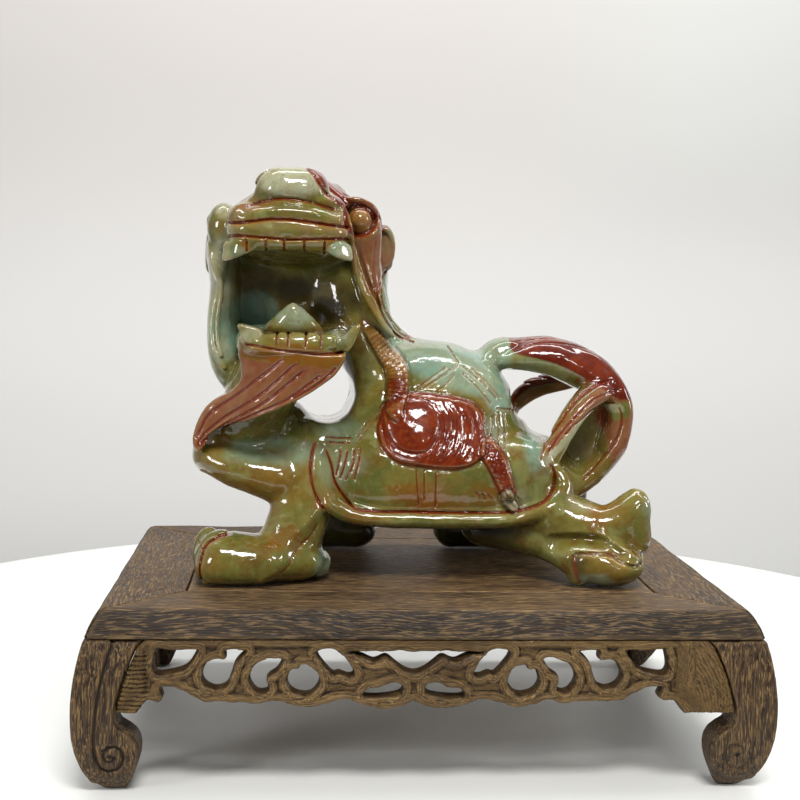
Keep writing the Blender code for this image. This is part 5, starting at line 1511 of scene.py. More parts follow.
def jade_material():
    m = Nodes("jade")
    v = m.point()
    big = m.noise(v, 38.0, 3.0, 0.55, 0.5)
    mid = m.noise(v, 120.0, 4.0, 0.6, 0.4)
    fine = m.noise(v, 420.0, 4.0, 0.65, 0.3)
    wob = m.math("ADD", m.math("MULTIPLY", big, 0.45), m.math("MULTIPLY", mid, 0.55))
    wob = m.math("SUBTRACT", wob, 0.5)
    wob2 = m.math("SUBTRACT", m.math("ADD", m.math("MULTIPLY", mid, 0.45),
                                     m.math("MULTIPLY", fine, 0.55)), 0.5)

    def zone(name, loose, a=0.3, b=0.7, by=None):
        s = m.math("MULTIPLY_ADD", by or wob, loose, m.attr(name))
        return m.ramp(s, a, b)

    # olive body colour, from yellow-green to brown-green
    col = m.mix(m.ramp(big, 0.36, 0.66), linear(84, 88, 38), linear(116, 104, 44))
    col = m.mix(m.ramp(mid, 0.44, 0.66, 0, 0.75), col, linear(98, 68, 20))
    col = m.mix(m.ramp(m.noise(v, 27.0, 3.0, 0.6, 1.0), 0.52, 0.66, 0, 0.6), col, linear(118, 84, 28))
    col = m.mix(m.ramp(m.noise(v, 75.0, 3.0, 0.6, 0.8), 0.50, 0.66, 0, 0.5), col, linear(132, 134, 84))
    col = m.mix(m.ramp(fine, 0.42, 0.72, 0, 0.3), col, linear(128, 122, 66))
    # ochre clouds
    och = m.mix(m.ramp(fine, 0.35, 0.65), linear(122, 68, 8), linear(112, 76, 18))
    col = m.mix(m.math("MULTIPLY", zone("ochre", 1.7, 0.25, 0.85), 0.9), col, och)
    # bluish green
    blue = m.mix(m.ramp(mid, 0.35, 0.65), linear(104, 138, 124), linear(124, 146, 126))
    blue = m.mix(m.ramp(big, 0.40, 0.62, 0, 0.45), blue, linear(122, 134, 96))
    col = m.mix(m.math("MULTIPLY", zone("blue", 1.3, 0.2, 0.85), 0.92), col, blue)
    pale = m.mix(m.ramp(mid, 0.38, 0.62), linear(146, 144, 108), linear(158, 160, 132))
    col = m.mix(m.math("MULTIPLY", zone("pale", 1.1, 0.2, 0.95), 0.9), col, pale)
    # faint brown veins and small rusty specks
    vein = m.math("ABSOLUTE", m.math("SUBTRACT", m.noise(v, 62.0, 5.0, 0.6, 1.2), 0.5))
    col = m.mix(m.ramp(vein, 0.0, 0.035, 0.22, 0.0), col, linear(112, 76, 30))
    speck = m.ramp(m.noise(v, 300.0, 2.0, 0.5), 0.66, 0.76, 0, 0.45)
    col = m.mix(speck, col, linear(112, 66, 20))
    col = m.mix(m.ramp(m.noise(v, 240.0, 3.0, 0.6), 0.62, 0.76, 0, 0.35), col, linear(150, 150, 104))
    col = m.mix(m.math("MULTIPLY", zone("gold", 0.6, 0.1, 0.9, wob2), 0.85), col,
                m.mix(m.ramp(fine, 0.35, 0.65), linear(132, 82, 26), linear(144, 108, 54)))
    # painted shade: dark olive-brown where the deep weights put shade
    col = m.mix(zone("deep", 0.6, 0.1, 0.95), col, m.mix(mid, linear(34, 26, 10), linear(52, 46, 22)))
    # pink-brown skin
    pink = m.mix(m.ramp(mid, 0.35, 0.66), linear(118, 68, 38), linear(128, 88, 58))
    pink = m.mix(m.ramp(fine, 0.5, 0.75, 0, 0.4), pink, linear(100, 50, 26))
    col = m.mix(zone("pink", 0.9, 0.25, 0.75), col, pink)
    # red-brown
    red = m.mix(m.ramp(mid, 0.34, 0.66), linear(84, 20, 3), linear(114, 38, 6))
    red = m.mix(m.ramp(fine, 0.45, 0.72, 0, 0.5), red, linear(136, 64, 12))
    col = m.mix(zone("red", 0.6, 0.2, 0.8), col, red)
    dark = m.mix(m.ramp(mid, 0.34, 0.66), linear(82, 20, 6), linear(112, 42, 16))
    col = m.mix(zone("dark", 0.7, 0.25, 0.75, wob2), col, dark)
    col = m.mix(zone("black", 0.3), col, m.mix(m.ramp(fine, 0.4, 0.6), linear(24, 22, 18), linear(120, 116, 96)))
    # rust left in the cut lines; rust-brown in the hollows too, partly the stone's own stain and partly painted shade;
    # the sharp edges lightened to pale gold, a painted highlight
    rust_and_painted_shade = m.ramp(m.attr("bend"), 0.07, 0.34, 0.0, 0.6)
    col = m.mix(m.math("MULTIPLY", rust_and_painted_shade, m.ramp(mid, 0.25, 0.5)), col, linear(72, 36, 10))
    painted_edge_highlight = m.ramp(m.attr("bend"), -0.08, -0.32, 0.0, 0.3)
    col = m.mix(painted_edge_highlight, col, linear(160, 128, 70))
    cut = m.ramp(m.math("MULTIPLY_ADD", wob2, 0.4, m.attr("stain")), 0.25, 0.8, 0.0, 0.92)
    col = m.mix(cut, col, m.mix(fine, linear(84, 16, 4), linear(122, 46, 14)))
    # painted shade: near black where the under weights put shade
    col = m.mix(m.math("MULTIPLY", m.attr("under"), 0.85), col, linear(14, 9, 3))
    b = m.bsdf
    m.put(b.inputs["Base Color"], col)
    m.put(b.inputs["Roughness"], m.ramp(fine, 0.3, 1.1, 0.18, 0.34))
    b.inputs["Specular IOR Level"].default_value = 0.12
    b.inputs["Subsurface Weight"].default_value = 0.12
    b.inputs["Subsurface Radius"].default_value = (1.0, 0.75, 0.4)
    b.inputs["Subsurface Scale"].default_value = 0.0022
    b.inputs["Coat Weight"].default_value = 1.0
    b.inputs["Coat Roughness"].default_value = 0.025
    b.inputs["Coat IOR"].default_value = 1.46
    n = m.bump(m.noise(v, 95.0, 2.0, 0.5), 0.30, 0.0012)
    n = m.bump(m.noise(v, 260.0, 2.0, 0.5), 0.30, 0.0005, n)
    n = m.bump(m.noise(v, 700.0, 3.0, 0.6), 0.08, 0.0003, n)
    m.put(b.inputs["Normal"], n)
    m.put(b.inputs["Coat Normal"], n)
    return m.mat


# ----------------------------------------------------------- the stand
TOP_L, TOP_D, STAND_H = 220.0, 150.0, 62.0
RAIL_T, RAIL_W, PANEL_T, GAP, APRON_T = 9.2, 26.0, 8.0, 0.3, 6.5
PATTERN_X = -5.5
BULGE = [(0, 0), (1.4, 1.1), (3.1, 2.2), (6.0, 3.7), (9.2, 4.9), (14.3, 6.3),
         (18.2, 7.1), (22.1, 7.8), (26.1, 8.3), (30.1, 8.6), (34.2, 8.7),
         (38.3, 8.6), (42.5, 8.3), (46.9, 7.5), (49.2, 6.9), (51.5, 6.2),
         (54.0, 5.2), (56.7, 3.9), (59.2, 2.4), (60.9, 1.1)]
LEG_INNER = [(-15.4, 9.5), (-12.7, 12.0), (-9.5, 19.6), (-7.7, 25.2), (-6.2, 31.0),
             (-5.9, 34.0), (-6.0, 36.4), (-7.0, 38.3), (-9.4, 39.7), (-11.8, 41.6),
             (-13.2, 44.0), (-13.7, 46.8), (-13.5, 49.6), (-12.8, 52.4), (-11.8, 55.2),
             (-10.6, 58.0), (-9.6, 60.2)]
SLOT_END = [(86.2, 17.0), (85.2, 12.8), (83.0, 12.0), (73.0, 12.0), (72.5, 13.7),
            (75.0, 17.7), (78.5, 19.4), (84.5, 20.4), (86.0, 19.1)]
COMMA = [(70.0, 19.5), (68.6, 17.2), (65.8, 16.0), (63.0, 16.4), (62.4, 15.0),
         (62.5, 12.0), (57.0, 12.2), (56.2, 13.4), (59.4, 16.6), (60.8, 20.6),
         (62.2, 23.9), (65.5, 25.2), (68.8, 23.9), (70.2, 21.6)]
CRESCENT = [(44.3, 15.7), (50.6, 16.4), (53.9, 19.4), (54.5, 22.8), (51.9, 26.2),
            (48.6, 25.8), (49.2, 22.6), (48.4, 21.0), (45.9, 19.4), (44.6, 17.4)]
ROUND_HOLE = [(40.8, 19.2), (38.6, 19.6), (37.6, 17.8), (34.6, 18.4), (32.0, 21.0),
              (31.9, 23.8), (34.0, 26.6), (37.0, 27.2), (40.4, 26.0), (42.2, 23.0)]
SLANT = [(32.6, 12.4), (25.7, 12.4), (20.4, 19.6), (21.7, 21.2), (25.3, 20.0),
         (27.4, 20.2)]
LOWER_SLOT = [(16.6, 27.8), (15.8, 26.0), (11.4, 24.9), (6.4, 23.6), (4.0, 24.4),
              (4.2, 26.4), (6.6, 27.4), (11.4, 28.0)]
CENTRE_HOLE = [(0.0, 20.0), (3.4, 19.0), (7.0, 16.4), (9.6, 14.8), (13.4, 16.2),
               (17.0, 14.8), (20.0, 13.8), (20.0, 12.4)]
LOWER_EDGE = [(0.0, 29.7), (2.4, 30.8), (8.1, 32.1), (14.7, 31.8), (20.7, 29.5),
              (25.3, 29.4), (29.3, 30.4), (34.3, 31.8), (39.6, 31.3), (44.9, 29.6),
              (50.9, 30.3), (59.5, 30.0), (67.0, 29.8), (71.1, 29.2), (78.8, 25.2),
              (83.8, 25.0), (82.9, 28.0), (84.6, 29.6), (88.4, 29.7), (91.7, 33.7)]


def bulge_at(depth):
    p = np.array(BULGE)
    return np.interp(depth, p[:, 0], p[:, 1])


def seam_at(depth):
    p = np.array(LEG_INNER[:6])
    return np.interp(depth, p[:, 1], p[:, 0])


def whole(lo, hi, fn):
    return Form([(np.array(lo, float), np.array(hi, float), fn)])


class Sheet:
    """Values on a fine flat grid, read back smoothly."""

    def __init__(self, u0, u1, v0, v1, h, fn):
        self.u0, self.v0, self.h = u0, v0, h
        U, V = np.meshgrid(np.arange(u0, u1 + h, h), np.arange(v0, v1 + h, h), indexing="ij")
        self.t = fn(U.astype(F4), V.astype(F4)).astype(F4)

    def __call__(self, u, v):
        t = self.t
        a = np.clip((u - F4(self.u0)) / F4(self.h), 0, t.shape[0] - 1.001)
        b = np.clip((v - F4(self.v0)) / F4(self.h), 0, t.shape[1] - 1.001)
        i, j = a.astype(np.int32), b.astype(np.int32)
        f, g = a - i, b - j
        return ((t[i, j] * (1 - f) + t[i + 1, j] * f) * (1 - g)
                + (t[i, j + 1] * (1 - f) + t[i + 1, j + 1] * f) * g).astype(F4)


def ripple(a, b, seed, size=14.0):
    """Slow uneven wave in about -1..1 over two coordinates."""
    r = np.random.RandomState(seed)
    out = 0
    for i in range(5):
        k = r.uniform(0.6, 1.9, 2) * 2 * math.pi / size * r.choice([-1, 1], 2)
        out = out + np.sin(k[0] * a + k[1] * b + r.uniform(0, 6.28))
    return (out / 3.2).astype(F4)


def wood(name, grain, seed, tone=1.0, carved=False):
    """Coarse, open-grained hardwood. grain is the axis the fibres run along."""
    m = Nodes(name)
    tc = m.new("TexCoord")
    at = m.new("Mapping")
    m.put(at.inputs["Vector"], tc.outputs["Object"])
    at.inputs["Location"].default_value = (0.37 * seed, 0.61 * seed, 0.23 * seed)
    v = at.outputs["Vector"]
    # a slow bend in the fibres
    wave = m.noise(v, 14.0, 2.0, 0.5)
    wave = m.math("MULTIPLY", m.math("SUBTRACT", wave, 0.5), 0.012)
    if carved:
        wave = m.math("MULTIPLY_ADD", m.attr("flow"), 0.0016, wave)
    off = m.new("CombineXYZ")
    for i in range(3):
        if i != grain:
            m.put(off.inputs[i], wave)
    add = m.new("VectorMath", operation="ADD")
    m.put(add.inputs[0], v)
    m.put(add.inputs[1], off.outputs[0])
    bent = add.outputs[0]

    def fibres(along, across, detail=3.0, rough=0.6, shift=0.0):
        sc = [across] * 3
        sc[grain] = along
        mp = m.new("Mapping")
        m.put(mp.inputs["Vector"], bent)
        mp.inputs["Scale"].default_value = sc
        mp.inputs["Location"].default_value = (shift, shift, shift)
        return m.noise(mp.outputs["Vector"], 1.0, detail, rough)

    broad = fibres(6.0, 70.0, 3.0, 0.55)
    streak = fibres(46.0, 950.0, 3.0, 0.72, 3.0)
    fleck = fibres(170.0, 1900.0, 2.0, 0.6, 7.0)
    pores = fibres(90.0, 2600.0, 2.0, 0.55, 11.0)
    cloud = m.noise(v, 22.0, 3.0, 0.6)

    def c(r, g, b):
        q = linear(r, g, b)
        return tuple(x * tone for x in q[:3]) + (1.0,)

    if carved:
        lo, mid, hi, pale, pit = c(70, 50, 26), c(94, 72, 38), c(116, 90, 50), c(152, 126, 78), c(34, 22, 10)
    else:
        lo, mid, hi, pale, pit = c(52, 37, 24), c(76, 57, 38), c(98, 76, 49), c(146, 118, 76), c(28, 18, 11)
    col = m.mix(m.ramp(broad, 0.36, 0.64), lo, mid)
    col = m.mix(m.ramp(streak, 0.47, 0.60, 0, 0.85), col, hi)
    col = m.mix(m.ramp(streak, 0.49, 0.38, 0, 0.85), col, pit)
    col = m.mix(m.math("MULTIPLY", m.ramp(fleck, 0.54, 0.66), m.ramp(cloud, 0.35, 0.6, 0.3, 0.9)), col, pale)
    col = m.mix(m.ramp(pores, 0.44, 0.34, 0, 0.85), col, pit)
    col = m.mix(m.ramp(cloud, 0.55, 0.75, 0, 0.35), col, c(96, 78, 62) if not carved else c(122, 92, 52))
    if carved:
        ring = m.math("SINE", m.math("MULTIPLY_ADD", m.math("SUBTRACT", m.noise(v, 180.0, 3.0, 0.6), 0.5), 9.0,
                                     m.math("MULTIPLY", m.attr("flow"), 6.2)))
        part = m.ramp(m.noise(v, 90.0, 3.0, 0.6), 0.35, 0.62)
        col = m.mix(m.math("MULTIPLY", m.ramp(ring, 0.1, 1.0, 0, 0.42), part), col, c(62, 42, 22))
        col = m.mix(m.math("MULTIPLY", m.ramp(ring, -0.2, -1.0, 0, 0.32), part), col, c(150, 122, 80))
        # painted shade: the wood is darkened close to the edges of the openings and the lower edge
        col = m.mix(m.ramp(m.attr("rim"), 1.1, 0.1, 0, 0.75), col, c(36, 24, 14))
    if not carved:
        # the rails' front faces are darkened strongly: partly a darker wood there, partly painted shade on faces that
        # get less light
        col = m.mix(m.math("MULTIPLY", m.attr("face"), 0.92), col, m.mix(0.82, col, c(14, 7, 2)))
        col = m.mix(m.math("MULTIPLY", m.ramp(fleck, 0.50, 0.62), 0.35), col, c(140, 112, 74))
    # darker in the hollows, paler on the rubbed edges
    col = m.mix(m.ramp(m.attr("bend"), 0.04, 0.24, 0, 0.9), col, c(30, 20, 13))
    col = m.mix(m.math("MULTIPLY", m.ramp(m.attr("bend"), -0.06, -0.24, 0, 0.28 if carved else 0.14), m.ramp(cloud, 0.3, 0.6)), col, c(150, 124, 88))
    b = m.bsdf
    m.put(b.inputs["Base Color"], col)
    m.put(b.inputs["Roughness"], m.ramp(streak, 0.3, 0.7, 0.42, 0.62))
    b.inputs["IOR"].default_value = 1.5
    b.inputs["Specular IOR Level"].default_value = 0.25
    n = m.bump(streak, 0.7, 0.0005)
    n = m.bump(pores, 0.6, 0.0005, n)
    m.put(b.inputs["Normal"], n)
    return m.mat


def piece(name, node, form, fine, lo, hi, step, faces, place, mat, extra=None, side=6):
    """One wooden part of the stand, cut, worn a little and put in place."""
    ob, P, g, place = sculpted(name, lambda c: c.add(form, 0.0), lambda c: None, fine,
                               lo, hi, step, side, 0, faces, place, 1.0)
    paint(ob, "bend", bends(*GROUND[name], P, 5))
    if extra:
        for key, val in extra(P, g).items():
            paint(ob, key, val)
    del GROUND[name]
    seat(ob, P, g, place)
    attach(ob, "root")
    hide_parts(node)
    ob.data.materials.append(mat)
    return ob


SCRATCHES = [((-96.5, -52.0), (-90.0, -43.0), 0.5), ((-93.0, -54.5), (-84.5, -43.5), 0.6),
             ((-89.5, -55.5), (-83.0, -47.0), 0.45), ((-101.0, -60.0), (-97.0, -52.0), 0.4),
             ((-88.0, -36.0), (-84.0, -40.0), 0.5), ((84.0, -50.0), (91.0, -47.5), 0.4)]


def stand_rails():
    for node, hl, hd, side, seed in (("stand_rail_front", 110.0, 75.0, 0, 1),
                                     ("stand_rail_right", 75.0, 110.0, 1, 2),
                                     ("stand_rail_back", 110.0, 75.0, 2, 3),
                                     ("stand_rail_left", 75.0, 110.0, 3, 4)):
        prof = [(hd - 0.7, 62.0), (hd + 0.05, 61.7)]
        prof += [(hd + o, STAND_H - d) for d, o in BULGE if 1.0 < d <= 9.21]
        prof[-1] = (prof[-1][0] + 0.05, 52.62)
        sec = prof + [(hd - RAIL_W, 52.62), (hd - RAIL_W, STAND_H)]
        flat = Sheet(hd - RAIL_W - 4, hd + 9, STAND_H - RAIL_T - 4, STAND_H + 4, 0.15,
                     lambda U, V, sec=sec: shape_distance(U, V, sec))

        def fn(X, Y, Z, flat=flat, hl=hl, hd=hd, seed=seed):
            v = -Y
            d = flat(v, Z)
            mitre = (np.abs(X) - v - F4(hl - hd)) / F4(math.sqrt(2)) + F4(0.07)
            d = smax(d + F4(0.3), mitre + F4(0.3), 0.2) - F4(0.3)
            # the planed face isn't quite flat
            out = smooth(v, hd - 4, hd - 1)
            wav = ripple(X, Z * 3, seed, 46.0) * F4(0.16) * out + (ripple(X, v * 2, seed + 20, 60.0) * F4(0.06) + F4(0.06))
            wav = np.maximum(wav + F4(0.05) * out, 0) * smooth(hl - 1.5 - np.abs(X), -6, 2)
            return np.maximum(d, 0) + np.minimum(d, 0) + wav * smooth(Z, STAND_H - 8.5, STAND_H - 7)

        def fine(c, side=side, hl=hl, hd=hd):
            # fibres torn and rubbed along the length of the front face
            def score(X, Y, Z):
                v = -Y
                a = np.sin(Z * F4(5.1) + F4(2.2) * ripple(X, Z, 40 + side, 30.0) + v * F4(0.4))
                b = smooth(ripple(X * F4(0.35), Z * 4 + v, 50 + side, 9.0), 0.1, 0.7)
                return (F4(0.11) * smooth(a, 0.2, 1.0) * b * smooth(v, hd - 1.0, hd + 0.8)
                        * smooth(Z, STAND_H - 8.8, STAND_H - 7.8) * smooth(STAND_H - 0.6 - Z, 0, 0.6))
            c.press((-hl - 9, -hd - 9, STAND_H - RAIL_T), (hl + 9, -hd + 3, STAND_H + 1), score)
            turn = Matrix.Rotation(-side * math.pi / 2, 2)
            for a, b, dep in SCRATCHES:
                a2, b2 = turn @ Vector(a), turn @ Vector(b)
                if min(-a2.y, -b2.y) < hd - RAIL_W + 1 or max(abs(a2.x), abs(b2.x)) > hl:
                    continue

                def cut(X, Y, Z, a2=a2, b2=b2, dep=dep):
                    d, t = line_distance(X, Y, [tuple(a2), tuple(b2)])
                    return F4(dep * 0.5) * np.exp(-(d / F4(0.35)) ** 2) * smooth(Z, STAND_H - 1.2, STAND_H - 0.5)
                c.press((min(a2.x, b2.x) - 1, min(a2.y, b2.y) - 1, STAND_H - 1.5),
                        (max(a2.x, b2.x) + 1, max(a2.y, b2.y) + 1, STAND_H + 1), cut)

        lo = (-hl - 7, -hd - 7, STAND_H - RAIL_T - 2)
        hi = (hl + 7, -hd + RAIL_W + 2, STAND_H + 2)
        form = whole((-hl - 5, -hd - 5, STAND_H - RAIL_T), (hl + 5, -hd + RAIL_W, STAND_H), fn)
        # the face weight marks each rail's front face, which the material darkens, partly as painted shade
        piece(node + "_wood", node, form, fine, lo, hi, 0.5, 34000,
              Matrix.Rotation(side * math.pi / 2, 4, "Z"),
              wood(node, 0 if side % 2 == 0 else 1, seed),
              lambda P, N, hd=hd: {"face": smooth(-P[:, 1] - hd, -0.4, 0.5)})


def stand_panel():
    hx, hy = (TOP_L - 2 * RAIL_W - 2 * GAP) / 2, (TOP_D - 2 * RAIL_W - 2 * GAP) / 2
    zc, hz = STAND_H - PANEL_T / 2, PANEL_T / 2

    def fn(X, Y, Z):
        r = F4(0.35)
        x, y, z = np.abs(X) - F4(hx) + r, np.abs(Y) - F4(hy) + r, np.abs(Z - F4(zc)) - F4(hz) + r
        d = (np.sqrt(np.maximum(x, 0) ** 2 + np.maximum(y, 0) ** 2 + np.maximum(z, 0) ** 2)
             + np.minimum(np.maximum(np.maximum(x, y), z), 0) - r)
        return d + F4(0.06) * (1 + ripple(X, Y * 2, 9, 60.0)) * smooth(Z, STAND_H - 3, STAND_H - 1)

    form = whole((-hx, -hy, STAND_H - PANEL_T), (hx, hy, STAND_H), fn)
    piece("stand_panel_wood", "stand_panel", form, lambda c: None,
          (-hx - 2, -hy - 2, STAND_H - PANEL_T - 2), (hx + 2, hy + 2, STAND_H + 2), 0.6, 16000,
          Matrix.Identity(4), wood("stand_panel", 0, 5, 1.32))


# the groove down each leg's face and round its scroll, from the outer edge
GROOVE = [(-4.7, 10.0), (-2.4, 18.2), (-0.7, 25.1), (0.5, 33.4), (1.0, 40.3),
          (0.9, 46.4), (-0.4, 51.6), (-3.0, 53.8), (-6.2, 53.2), (-8.2, 50.6),
          (-8.3, 47.2), (-6.2, 44.9), (-3.4, 45.4), (-2.0, 47.8), (-3.0, 50.2),
          (-5.0, 50.2), (-5.8, 48.6)]


def stand_legs():
    def outline(edge):
        pts = [(edge + float(bulge_at(9.5)), STAND_H - 9.5)]
        pts += [(edge + o, STAND_H - d) for d, o in BULGE if d > 9.7]
        pts += [(edge + 0.1, 0.3), (edge - 0.5, 0.0), (edge - 8.0, 0.0), (edge - 8.8, 0.4)]
        pts += [(edge + o, STAND_H - d) for o, d in reversed(LEG_INNER)]
        return pts

    def sheet(edge):
        pts = outline(edge)
        return Sheet(edge - 22, edge + 14, -4, 56, 0.15,
                     lambda U, V: shape_distance(U, V, pts))

    fx, fy = sheet(110.0), sheet(75.0)
    groove = curve([(o, STAND_H - d) for o, d in GROOVE], 5)
    gsheet = Sheet(-22, 14, -2, 56, 0.12, lambda U, V: line_distance(U, V, groove)[0])
    boss = Sheet(-22, 14, -2, 56, 0.15, lambda U, V: np.hypot(U + 4.1, V - (STAND_H - 48.6)))
    for i, (node, sx, sy) in enumerate((("stand_leg_front_left", -1, -1), ("stand_leg_front_right", 1, -1),
                                        ("stand_leg_back_left", -1, 1), ("stand_leg_back_right", 1, 1))):
        deep = 1.0 if sx < 0 else 0.42

        def fn(X, Y, Z, sx=sx, sy=sy):
            a, b = X * sx, Y * sy
            d = smax(fx(a, Z) + F4(0.4), fy(b, Z) + F4(0.4), 0.9) - F4(0.4)
            hol = np.maximum(np.maximum(a - F4(105), b - F4(70)), Z - F4(44))
            return smax(d, -hol, 0.8)

        def fine(c, sx=sx, sy=sy, deep=deep):
            def face(X, Y, Z, edge, other, along_x):
                a, b = (X * sx, Y * sy) if along_x else (Y * sy, X * sx)
                dep = STAND_H - Z
                front = other + bulge_at(dep)
                on = smooth(b - front.astype(F4), -2.6, -1.6)
                u = a - F4(edge)
                g = gsheet(u, Z)
                r = boss(u, Z)
                s = F4(1.0 * deep) * np.exp(-(g / F4(0.7)) ** 2)
                # the strip between the groove and the apron lies a little lower
                inner = smooth(-g * 0 + (np.interp(Z, groove[:20, 1][::-1], groove[:20, 0][::-1]).astype(F4) - u), 0.0, 0.8)
                s = s + F4(0.55 * deep) * inner * smooth(Z, 19.0, 24.0)
                # scroll turns roll over towards the groove
                s = s + F4(0.5) * smooth(r, 8.2, 10.4) * smooth(22.0 - Z, 0, 3) * smooth(3.0 - u, 0, 3)
                s = s + F4(0.8) * (1 - smooth(r, 0.5, 1.3)) - F4(0.2) * np.exp(-((r - 2.2) / 0.6) ** 2)
                # fibres
                f = np.sin(u * F4(5.4) + F4(2.0) * ripple(u, Z, 70 + i, 26.0))
                s = s + F4(0.09) * smooth(f, 0.1, 1.0) * smooth(ripple(u * 3, Z * F4(0.3), 80 + i, 12.0), 0.0, 0.6)
                return s * on

            lo = [min(sx * 90, sx * 121), min(sy * 55, sy * 86), 0]
            hi = [max(sx * 90, sx * 121), max(sy * 55, sy * 86), 54]
            c.press(lo, hi, lambda X, Y, Z: face(X, Y, Z, 110, 75, True))
            c.press(lo, hi, lambda X, Y, Z: face(X, Y, Z, 75, 110, False))

        lo = (min(sx * 92, sx * 120), min(sy * 57, sy * 85), -1.2)
        hi = (max(sx * 92, sx * 120), max(sy * 57, sy * 85), 54.0)
        form = whole((lo[0] + 1, lo[1] + 1, 0), (hi[0] - 1, hi[1] - 1, 52.6), fn)
        piece(node + "_wood", node, form, fine, lo, hi, 0.42, 42000,
              Matrix.Identity(4), wood(node, 2, 6 + i, 0.74))


def both_ways(shape):
    return [(-u, d) for u, d in reversed(shape) if u > 0.0] + list(shape)


def stand_aprons():
    for node, side, short, seed in (("stand_apron_front", 0, False, 11), ("stand_apron_right", 1, True, 12),
                                    ("stand_apron_back", 2, False, 13), ("stand_apron_left", 3, True, 14)):
        k, kc = (0.62, 0.56) if short else (1.0, 1.0)
        half = 75.0 if short else 110.0
        edge = 110.0 if short else 75.0
        px = 0.0 if short else PATTERN_X
        holes = [SLOT_END, COMMA, CRESCENT, ROUND_HOLE, LOWER_SLOT] + ([] if short else [SLANT])
        shapes = [[(px + u * kc, d) for u, d in both_ways(CENTRE_HOLE)]]
        for h in holes:
            shapes.append([(px + u * k, d) for u, d in h])
            shapes.append([(px - u * k, d) for u, d in h])
        # the plain band above the openings
        shapes = [closed_curve([(u, d + 1.1 * (d < 12.5)) for u, d in s], 3) for s in shapes]
        low = curve([(px + u * k, d) for u, d in both_ways(LOWER_EDGE)], 3)
        steps = [9.5, 10.7, 12.0, 14.0, 16.5, 19.0, 22.5, 26.0, 30.0, 33.8]
        right = [(half + float(seam_at(d)) - 0.12, d) for d in steps]
        outer = [(-u, d) for u, d in right] + [tuple(q) for q in low] + [(u, d) for u, d in reversed(right)]

        def body(U, V, outer=outer, shapes=shapes):
            d = shape_distance(U, V, outer)
            for s in shapes:
                m = ((U > s[:, 0].min() - 7) & (U < s[:, 0].max() + 7)
                     & (V > s[:, 1].min() - 7) & (V < s[:, 1].max() + 7))
                d[m] = np.maximum(d[m], -shape_distance(U[m], V[m], s))
            return d

        def rims(U, V, shapes=shapes, low=low):
            """Distance to the nearest opening or to the lower edge."""
            d = np.full(U.shape, 30, F4)
            for s in shapes:
                m = ((U > s[:, 0].min() - 9) & (U < s[:, 0].max() + 9)
                     & (V > s[:, 1].min() - 9) & (V < s[:, 1].max() + 9))
                d[m] = np.minimum(d[m], np.abs(shape_distance(U[m], V[m], s)))
            return np.minimum(d, line_distance(U, V, low)[0])

        flat = Sheet(-half - 2, half + 2, 6.0, 38.0, 0.22, body)
        rim = Sheet(-half - 2, half + 2, 6.0, 38.0, 0.22, rims)

        def fn(X, Y, Z, flat=flat, edge=edge):
            dep = STAND_H - Z
            w = -Y
            front = F4(edge) + bulge_at(np.maximum(dep, 9.5)).astype(F4) - F4(0.4)
            d2 = flat(X, dep)
            d1 = w - front
            d3 = front - F4(APRON_T) - w
            d = smax(d2 + F4(0.6), d1 + F4(0.6), 1.7) - F4(0.6)
            return smax(d, d3, 0.5)

        def fine(c, rim=rim, side=side, half=half, edge=edge, seed=seed, short=short, px=px, k=k):
            def relief(X, Y, Z):
                dep = STAND_H - Z
                w = -Y
                front = F4(edge) + bulge_at(np.maximum(dep, 9.5)).astype(F4) - F4(0.4)
                on = smooth(w - front, -3.6, -2.4)
                e = rim(X, dep)
                u = X - F4(px)
                live = smooth(dep, 11.0, 12.6) * (1 - smooth(np.abs(u), 88 * k, 91 * k))
                # the ground between the branches is cut back
                s = F4(0.85) * smooth(e, 2.2, 3.3) * live
                # bark-like lines running round every opening
                q = e + F4(0.35) * ripple(X, dep, seed, 9.0)
                s = s + F4(0.16) * (F4(0.5) + F4(0.5) * np.cos(q * F4(2 * math.pi / 1.15))) * smooth(e, 0.7, 1.5) \
                    * smooth(dep, 10.6, 12.5)
                s = s + F4(0.22) * (1 + ripple(X, dep * 2, seed + 5, 12.0)) * live
                if side == 0:
                    # chisel cuts across the left end
                    fan = dep + F4(0.055) * (X + 95) * smooth(24 - dep, -8, 8) - F4(0.04) * (X + 95)
                    h = F4(0.5) + F4(0.5) * np.sin(fan * F4(2 * math.pi / 1.45) + F4(0.5) * ripple(X, dep, 77, 8.0))
                    zone = smooth(-X, 92.6, 94.4) * smooth(dep, 13.0, 14.6) * smooth(34.4 - dep, 0, 1.2)
                    s = s + F4(0.62) * h ** 2 * zone
                f = np.sin(dep * F4(5.6) + F4(2.6) * ripple(X * F4(0.5), dep, seed + 9, 16.0))
                s = s + F4(0.08) * smooth(f, 0.1, 1.0)
                s = s + F4(0.14) * ripple(X, dep, seed + 21, 2.6) * ripple(X, dep, seed + 22, 5.0) * smooth(dep, 11, 13)
                return s * on

            c.press((-half - 2, -edge - 10, STAND_H - 37), (half + 2, -edge + 1, STAND_H - 8), relief)

        def extra(P, N, rim=rim, px=px):
            dep = STAND_H - P[:, 2]
            e = rim(P[:, 0].astype(F4), dep.astype(F4))
            return {"rim": e, "flow": e + 0.5 * (1 - smooth(e, 0, 8)) * ripple(P[:, 0], dep, 3, 12.0)
                    + 0.35 * dep * smooth(e, 3, 7)}

        lo = (-half - 1.2, -edge - 9.6, STAND_H - 36.0)
        hi = (half + 1.2, -edge + 3.6, STAND_H - 8.2)
        form = whole((-half, -edge - 8.5, STAND_H - 34), (half, -edge + 2.5, STAND_H - 9.5), fn)
        piece(node + "_wood", node, form, fine, lo, hi, 0.4,
              60000 if short else (110000 if side == 0 else 80000),
              Matrix.Rotation(side * math.pi / 2, 4, "Z"),
              wood(node, 0 if side % 2 == 0 else 1, seed, 0.92, True), extra)


